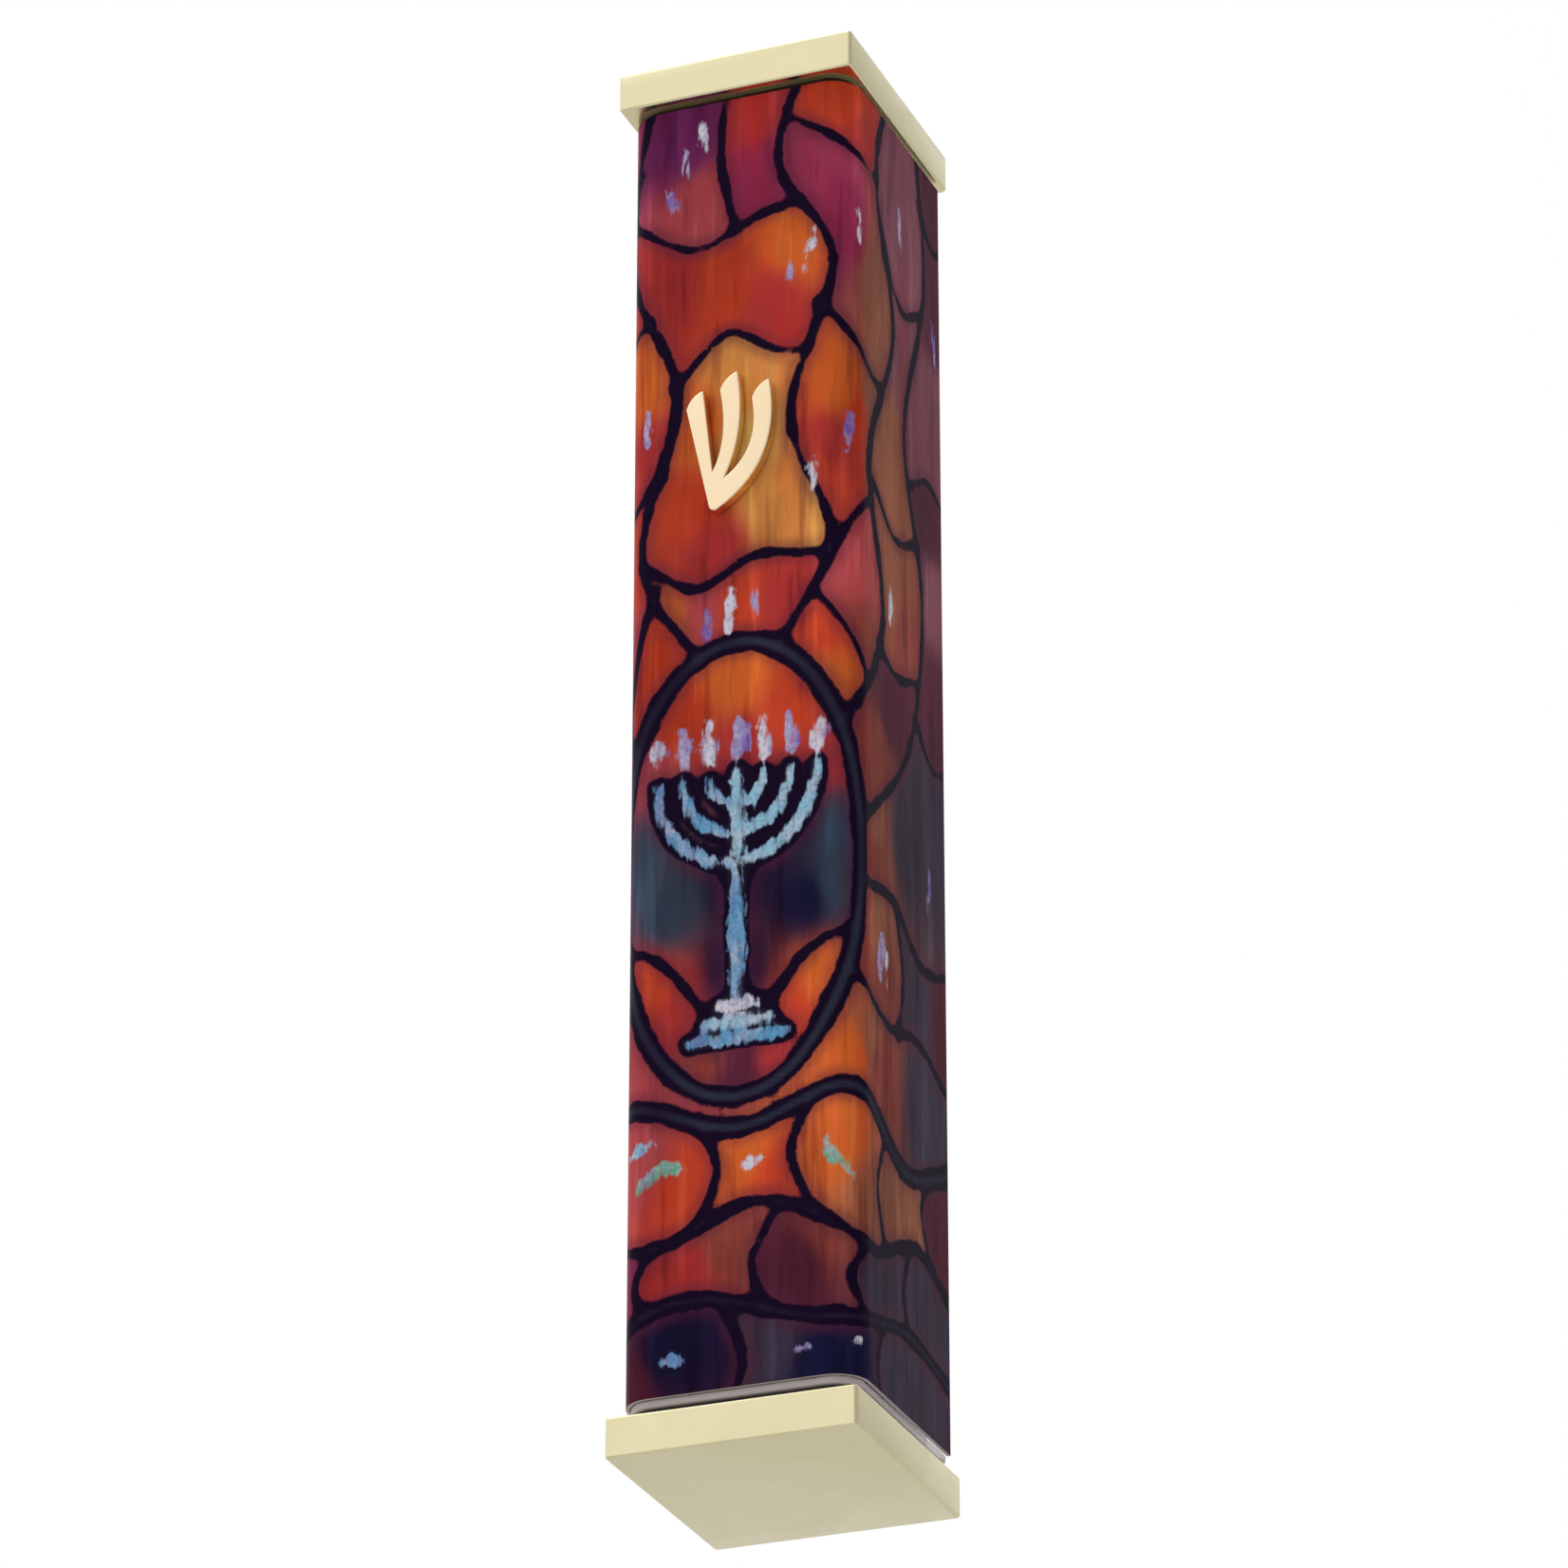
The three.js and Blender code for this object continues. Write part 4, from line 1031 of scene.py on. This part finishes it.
# The letter's outline in shares of its half width and half height: each row is a corner, or a
# control point and the corner that its curve ends at.
LETTER = (
    ((-0.46, -0.94),),
    ((-1, 0.55),),
    ((-0.9, 0.74), (-0.6, 0.8)),
    ((-0.38, -0.42),),
    ((0, 0.05), (-0.22, 0.76)),
    ((-0.1, 0.94), (0.2, 1)),
    ((0.44, 0.1), (-0.1, -0.54)),
    ((0.74, -0.2), (0.52, 0.56)),
    ((0.66, 0.76), (0.94, 0.8)),
    ((1.3, -0.46), (-0.3, -1)),
    ((-0.42, -1), (-0.46, -0.94)),
)
STUDS = ((-0.02, 0.6), (-0.25, -0.7))
LETTER_HALF, STUD_RADIUS = 3.8 * MM, 0.5 * MM


def letter_outline(half_width, half_height, steps=14):
    points = [Vector(LETTER[0][0])]
    for row in LETTER[1:]:
        start = points[-1]
        if len(row) == 1:
            points.append(Vector(row[0]))
            continue
        control, end = Vector(row[0]), Vector(row[1])
        for step in range(1, steps + 1):
            t = step / steps
            points.append(start * (1 - t) ** 2 + control * 2 * t * (1 - t) + end * t ** 2)
    return [(point.x * half_width, point.y * half_height) for point in points[:-1]]


def make_letter():
    own = sizes()
    low, high = LETTER_LOW, LETTER_HIGH
    half_width = LETTER_HALF
    half_height = (high.z - low.z) / 2
    middle = Vector((low.x + half_width, low.y + own.letter_thickness, (low.z + high.z) / 2))
    clear_selection()
    curve = bpy.data.curves.new("letter_gold", "CURVE")
    curve.dimensions = "2D"
    curve.fill_mode = "BOTH"
    curve.extrude = own.letter_thickness / 2 - own.letter_edge
    curve.bevel_depth = own.letter_edge
    curve.offset = -own.letter_edge
    curve.bevel_resolution = 3
    spline = curve.splines.new("POLY")
    outline = letter_outline(half_width, half_height)
    spline.points.add(len(outline) - 1)
    for point, (x, y) in zip(spline.points, outline):
        point.co = (x, y, 0, 1)
    spline.use_cyclic_u = True
    letter = bpy.data.objects.new("letter_gold", curve)
    bpy.context.scene.collection.objects.link(letter)
    make_active(letter)
    bpy.ops.object.convert(target="MESH")
    letter = bpy.context.object
    letter.rotation_euler = (math.pi / 2, 0, 0)
    letter.location = middle - Vector((0, own.letter_thickness / 2, 0))
    settle()
    outward(letter)
    for across, up in STUDS:
        back, front = high.y, middle.y - own.letter_thickness / 2
        clear_selection()
        bpy.ops.mesh.primitive_cylinder_add(
            vertices=32, radius=STUD_RADIUS, depth=back - front, rotation=(math.pi / 2, 0, 0),
            location=(middle.x + across * half_width, (back + front) / 2, middle.z + up * half_height),
        )
        settle()
        cut(letter, named("stud"), "UNION")
    smooth(letter, 40)
    gold = gold_material("letter_gold_plating", tuple(colours().letter_gold), (1, 1, 0.05))
    done(letter, "case", "emblem_gold", gold, "emblem")


def make_channel():
    tone = tuple(colours().aluminium)
    edge = sizes().break_edge
    satin = grained_material("satin_aluminium", tone, 0.34, 1600, 0.12, (1, 1, 0.02), 1.0)
    channel = refined("body_channel", "aluminium_channel", edge)
    done(channel, "case", "channel_aluminium", satin, "body_channel")
    matt = grained_material("matt_black_plastic", tuple(colours().plastic), 0.55, 2600, 0.3)
    plate = refined("back_plate", "plastic_back_plate", edge * 2)
    done(plate, "case", "back_plastic", matt, "back_plate")


def make_pad():
    """Foam strip: rounded corners, and cut edges that bulge a little between its two faces."""
    pad = block("foam_pad", PAD_LOW, PAD_HIGH)
    with editing(pad):
        bevel_edges(lambda edge: abs(along(edge).y) > 0.99, offset=2 * MM, steps=8)
        pick("EDGE", lambda edge: abs(along(edge).y) > 0.99)
        bpy.ops.mesh.subdivide(number_cuts=3)
        middle = (PAD_LOW.y + PAD_HIGH.y) / 2
        pick("VERT", lambda vertex: abs(vertex.co.y - middle) > 0.4 * MM)
        bpy.ops.transform.resize(value=(0.985, 1, 0.999), center_override=(0, middle, 0))
    smooth(pad, 60)
    done(pad, "case", "pad_foam", foam_material("white_foam", tuple(colours().foam)), "wall_pad")


def make_seals():
    # The bottom seal's black fills the gap under the cover's lower edge: real rubber, and painted shade
    # there.
    rubber_and_gap_shade = grained_material("black_rubber_and_gap_shade", tuple(colours().rubber_and_gap_shade), 0.62, 1800, 0.4)
    seal = refined("bottom_cap_seal", "rubber_seal", sizes().break_edge)
    done(seal, "bottom_cap", "seal_rubber", rubber_and_gap_shade, "bottom_cap_seal")
    gasket = refined("top_cap_gasket", "rubber_gasket", sizes().break_edge / 2)
    done(gasket, "case", "seal_rubber", rubber_and_gap_shade, "top_cap_gasket")


def make_inner():
    """The foam cushion and the two push nuts inside the case."""
    cushion = refined("top_cushion", "foam_cushion", edge=0.3 * MM, steps=3)
    grey = foam_material("grey_foam", (0.16, 0.16, 0.17))
    done(cushion, "case", "cushion_foam", grey, "top_cushion")
    steel = grained_material("spring_steel", (0.56, 0.56, 0.58), 0.3, 1400, 0.15, metallic=1.0)
    for place in ("upper", "lower"):
        node = f"emblem_nut_{place}"
        nut = refined(node, f"push_nut_{place}", edge=0.06 * MM)
        done(nut, "case", "nut_steel", steel, node)


SCROLL_TURNS = 5
SCROLL_OUTER, SCROLL_INNER = 4.75 * MM, 2.25 * MM
PARCHMENT_SHEET, SLEEVE_WALL = 0.28 * MM, 0.4 * MM
TURN_STEPS = 48  # points on each turn of the roll


def roll_parchment():
    """The scroll: a strip wound in a spiral and then given its thickness."""
    low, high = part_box("parchment_scroll")
    steps = TURN_STEPS * SCROLL_TURNS
    curve = bpy.data.curves.new("parchment", "CURVE")
    curve.dimensions = "3D"
    curve.extrude = (high.z - low.z) / 2
    spline = curve.splines.new("POLY")
    spline.points.add(steps)
    for step, point in enumerate(spline.points):
        turn = 2 * math.pi * step / TURN_STEPS
        radius = SCROLL_INNER + (SCROLL_OUTER - SCROLL_INNER) * step / steps
        point.co = (radius * math.cos(turn), radius * math.sin(turn), 0, 1)
    roll = bpy.data.objects.new("parchment", curve)
    bpy.context.scene.collection.objects.link(roll)
    make_active(roll)
    bpy.ops.object.convert(target="MESH")
    roll = bpy.context.object
    roll.location = (SLEEVE_AXIS.x, SLEEVE_AXIS.y, (low.z + high.z) / 2)
    settle()
    with editing(roll):
        pick("EDGE", upright)
        bpy.ops.mesh.subdivide(number_cuts=20)
    apply_modifier(roll, "SOLIDIFY", thickness=PARCHMENT_SHEET, offset=0, use_even_offset=True)
    outward(roll)
    smooth(roll, 50)
    done(roll, "scroll", "parchment", parchment_material(), "parchment_scroll")


def make_scroll():
    """The parchment, its clear sleeve and the sleeve's two plugs."""
    roll_parchment()
    clear = sleeve_material()
    x, y = SLEEVE_AXIS.x, SLEEVE_AXIS.y
    radius = (SLEEVE_HIGH.x - SLEEVE_LOW.x) / 2
    sleeve = round_bar("clear_sleeve", radius, SLEEVE_LOW.z, SLEEVE_HIGH.z, x, y, 72, "NOTHING")
    thicken(sleeve, SLEEVE_WALL)
    break_edges(sleeve, width=0.1 * MM, steps=2, angle=60)
    smooth(sleeve, 40)
    done(sleeve, "scroll", "sleeve_plastic", clear, "scroll_sleeve")
    for end, direction in (("top", 1), ("bottom", -1)):
        make_plug(end, direction, radius, clear)


PLUG_GAP, PLUG_STEP, PLUG_WALL = 0.05 * MM, 0.5 * MM, 0.8 * MM  # over the sleeve, beside it, of the cup
DISH_RIM, DISH_DEPTH = 0.9 * MM, 0.2 * MM


def make_plug(end, direction, radius, material):
    """An end plug: a flange with a dished face and a short cup inside the sleeve."""
    node = f"sleeve_plug_{end}"
    low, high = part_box(node)
    x, y = SLEEVE_AXIS.x, SLEEVE_AXIS.y
    seat = SLEEVE_HIGH.z if direction > 0 else SLEEVE_LOW.z
    face = seat + direction * PLUG_GAP
    outside = high.z if direction > 0 else low.z
    inside = low.z if direction > 0 else high.z
    plug = round_bar(f"{node}_clear", radius, min(face, outside), max(face, outside), x, y, 72)
    with editing(plug):
        pick("FACE", facing(2, -direction))
        bpy.ops.mesh.inset(thickness=PLUG_STEP)
        extrude(inside - face)
        bpy.ops.mesh.inset(thickness=PLUG_WALL)
        extrude(face - inside)
        pick("FACE", facing(2, direction))
        bpy.ops.mesh.inset(thickness=DISH_RIM)
        bpy.ops.transform.translate(value=(0, 0, -direction * DISH_DEPTH))
    outward(plug)
    break_edges(plug, width=0.12 * MM, steps=3, angle=50)
    smooth(plug, 40)
    done(plug, "scroll", "sleeve_plastic", material, node)


# ---- stage ----

CAMERA_TURN, CAMERA_RISE = 21.5, -25.3  # degrees: to the right of the front, and below it
CAMERA_DISTANCE = 0.60
CAMERA_LENS = 168.3  # millimetres
CAMERA_AIM = (-0.18 * MM, -0.8 * MM)  # to the right of the case's middle, and above it
FLOOR_DEPTH = -1.45  # the case hangs at shoulder height


def look_from(turn, rise):
    """Unit vector from the case towards a viewer."""
    a, e = math.radians(turn), math.radians(rise)
    return Vector((math.sin(a) * math.cos(e), -math.cos(a) * math.cos(e), math.sin(e)))


def add_lamp(name, turn, rise, distance, width, height, power):
    clear_selection()
    back = look_from(turn, rise)
    bpy.ops.object.light_add(type="AREA", location=CASE_MIDDLE + back * distance)
    lamp = bpy.context.object
    lamp.name = name
    lamp.rotation_euler = back.to_track_quat("Z", "Y").to_euler()
    lamp.data.shape = "RECTANGLE"
    lamp.data.size, lamp.data.size_y = width, height
    lamp.data.energy = power


def make_world():
    """Soft surroundings: bright to the left and behind, greyer to the right."""
    world = bpy.data.worlds.new("soft_studio")
    bpy.context.scene.world = world
    world.use_nodes = True
    nodes, links = world.node_tree.nodes, world.node_tree.links
    where = nodes.new("ShaderNodeTexCoord").outputs["Generated"]
    parts = nodes.new("ShaderNodeSeparateXYZ")
    links.new(where, parts.inputs["Vector"])
    ramp = nodes.new("ShaderNodeMapRange")
    ramp.interpolation_type = "SMOOTHSTEP"
    links.new(parts.outputs["X"], ramp.inputs["Value"])
    for key, value in (("From Min", -0.25), ("From Max", 0.75), ("To Min", 1.0), ("To Max", 0.5)):
        ramp.inputs[key].default_value = value
    links.new(ramp.outputs["Result"], nodes["Background"].inputs["Color"])
    nodes["Background"].inputs["Strength"].default_value = 1.0


def make_stage():
    make_world()
    clear_selection()
    bpy.ops.mesh.primitive_circle_add(
        vertices=96, radius=12, fill_type="NGON", location=(0, 0, FLOOR_DEPTH)
    )
    settle()
    floor = named("floor")
    floor.data.materials.append(
        grained_material("pale_floor", tuple(colours().floor), 0.8, 6, 0.05, mottle=0.12)
    )
    add_lamp("key_light", turn=-62, rise=64, distance=1.4, width=1.0, height=1.0, power=2.6)
    add_camera()


def add_camera():
    clear_selection()
    back = look_from(CAMERA_TURN, CAMERA_RISE)
    turn = math.radians(CAMERA_TURN)
    right = Vector((math.cos(turn), math.sin(turn), 0))
    middle = Vector((0, CASE_MIDDLE.y, CASE_MIDDLE.z))
    aim = middle + right * CAMERA_AIM[0] + Vector((0, 0, CAMERA_AIM[1]))
    bpy.ops.object.camera_add(location=aim + back * CAMERA_DISTANCE)
    camera = bpy.context.object
    camera.name = "camera"
    camera.rotation_euler = back.to_track_quat("Z", "Y").to_euler()
    camera.data.lens = CAMERA_LENS
    camera.data.clip_start, camera.data.clip_end = 0.01, 50
    bpy.context.scene.camera = camera
    bpy.context.scene.view_settings.view_transform = "Standard"


# ---- operators, panel and registration ----

class MEZUZAH_OT_make_stage(bpy.types.Operator):
    """Adds the floor, the light and the camera"""

    bl_idname = "mezuzah.make_stage"
    bl_label = "Stage"
    bl_options = {"REGISTER", "UNDO"}

    def execute(self, context):
        make_stage()
        return {"FINISHED"}


class MEZUZAH_OT_make_print(bpy.types.Operator):
    """Adds the film with its stained-glass style print"""

    bl_idname = "mezuzah.make_print"
    bl_label = "Printed film"
    bl_options = {"REGISTER", "UNDO"}

    def execute(self, context):
        make_print()
        return {"FINISHED"}


class MEZUZAH_OT_make_cover(bpy.types.Operator):
    """Adds the bent clear cover"""

    bl_idname = "mezuzah.make_cover"
    bl_label = "Clear cover"
    bl_options = {"REGISTER", "UNDO"}

    def execute(self, context):
        make_cover()
        return {"FINISHED"}


class MEZUZAH_OT_make_caps(bpy.types.Operator):
    """Adds the two gold caps"""

    bl_idname = "mezuzah.make_caps"
    bl_label = "Caps"
    bl_options = {"REGISTER", "UNDO"}

    def execute(self, context):
        make_caps()
        return {"FINISHED"}


class MEZUZAH_OT_make_screws(bpy.types.Operator):
    """Adds the top cap's two screws"""

    bl_idname = "mezuzah.make_screws"
    bl_label = "Cap screws"
    bl_options = {"REGISTER", "UNDO"}

    def execute(self, context):
        make_screws()
        return {"FINISHED"}


class MEZUZAH_OT_make_letter(bpy.types.Operator):
    """Adds the raised letter"""

    bl_idname = "mezuzah.make_letter"
    bl_label = "Letter"
    bl_options = {"REGISTER", "UNDO"}

    def execute(self, context):
        make_letter()
        return {"FINISHED"}


class MEZUZAH_OT_make_channel(bpy.types.Operator):
    """Adds the channel and its back plate"""

    bl_idname = "mezuzah.make_channel"
    bl_label = "Channel"
    bl_options = {"REGISTER", "UNDO"}

    def execute(self, context):
        make_channel()
        return {"FINISHED"}


class MEZUZAH_OT_make_pad(bpy.types.Operator):
    """Adds the adhesive foam strip"""

    bl_idname = "mezuzah.make_pad"
    bl_label = "Wall pad"
    bl_options = {"REGISTER", "UNDO"}

    def execute(self, context):
        make_pad()
        return {"FINISHED"}


class MEZUZAH_OT_make_seals(bpy.types.Operator):
    """Adds the rubber seal and gasket"""

    bl_idname = "mezuzah.make_seals"
    bl_label = "Seals"
    bl_options = {"REGISTER", "UNDO"}

    def execute(self, context):
        make_seals()
        return {"FINISHED"}


class MEZUZAH_OT_make_inner(bpy.types.Operator):
    """Adds the cushion and the push nuts"""

    bl_idname = "mezuzah.make_inner"
    bl_label = "Inner pieces"
    bl_options = {"REGISTER", "UNDO"}

    def execute(self, context):
        make_inner()
        return {"FINISHED"}


class MEZUZAH_OT_make_scroll(bpy.types.Operator):
    """Adds the scroll in its sleeve"""

    bl_idname = "mezuzah.make_scroll"
    bl_label = "Scroll"
    bl_options = {"REGISTER", "UNDO"}

    def execute(self, context):
        make_scroll()
        return {"FINISHED"}


OPERATORS = (
    MEZUZAH_OT_make_stage,
    MEZUZAH_OT_make_print,
    MEZUZAH_OT_make_cover,
    MEZUZAH_OT_make_caps,
    MEZUZAH_OT_make_screws,
    MEZUZAH_OT_make_letter,
    MEZUZAH_OT_make_channel,
    MEZUZAH_OT_make_pad,
    MEZUZAH_OT_make_seals,
    MEZUZAH_OT_make_inner,
    MEZUZAH_OT_make_scroll,
)


class MEZUZAH_PT_pieces(bpy.types.Panel):
    """Lists the sizes, the colours and the pieces"""

    bl_idname = "MEZUZAH_PT_pieces"
    bl_label = "Mezuzah case"
    bl_space_type = "VIEW_3D"
    bl_region_type = "UI"
    bl_category = "Mezuzah"

    def draw(self, context):
        for group in (context.scene.mezuzah_sizes, context.scene.mezuzah_colours):
            column = self.layout.column(align=True)
            for name in group.__annotations__:
                column.prop(group, name)
        for made in OPERATORS:
            self.layout.operator(made.bl_idname)


CLASSES = (MezuzahSizes, MezuzahColours, *OPERATORS, MEZUZAH_PT_pieces)


def register():
    for made in CLASSES:
        bpy.utils.register_class(made)
    bpy.types.Scene.mezuzah_sizes = bpy.props.PointerProperty(type=MezuzahSizes)
    bpy.types.Scene.mezuzah_colours = bpy.props.PointerProperty(type=MezuzahColours)


def unregister():
    del bpy.types.Scene.mezuzah_colours
    del bpy.types.Scene.mezuzah_sizes
    for made in reversed(CLASSES):
        bpy.utils.unregister_class(made)


def main():
    register()
    for made in OPERATORS:
        group, name = made.bl_idname.split(".")
        getattr(getattr(bpy.ops, group), name)()


if __name__ == "__main__":
    main()
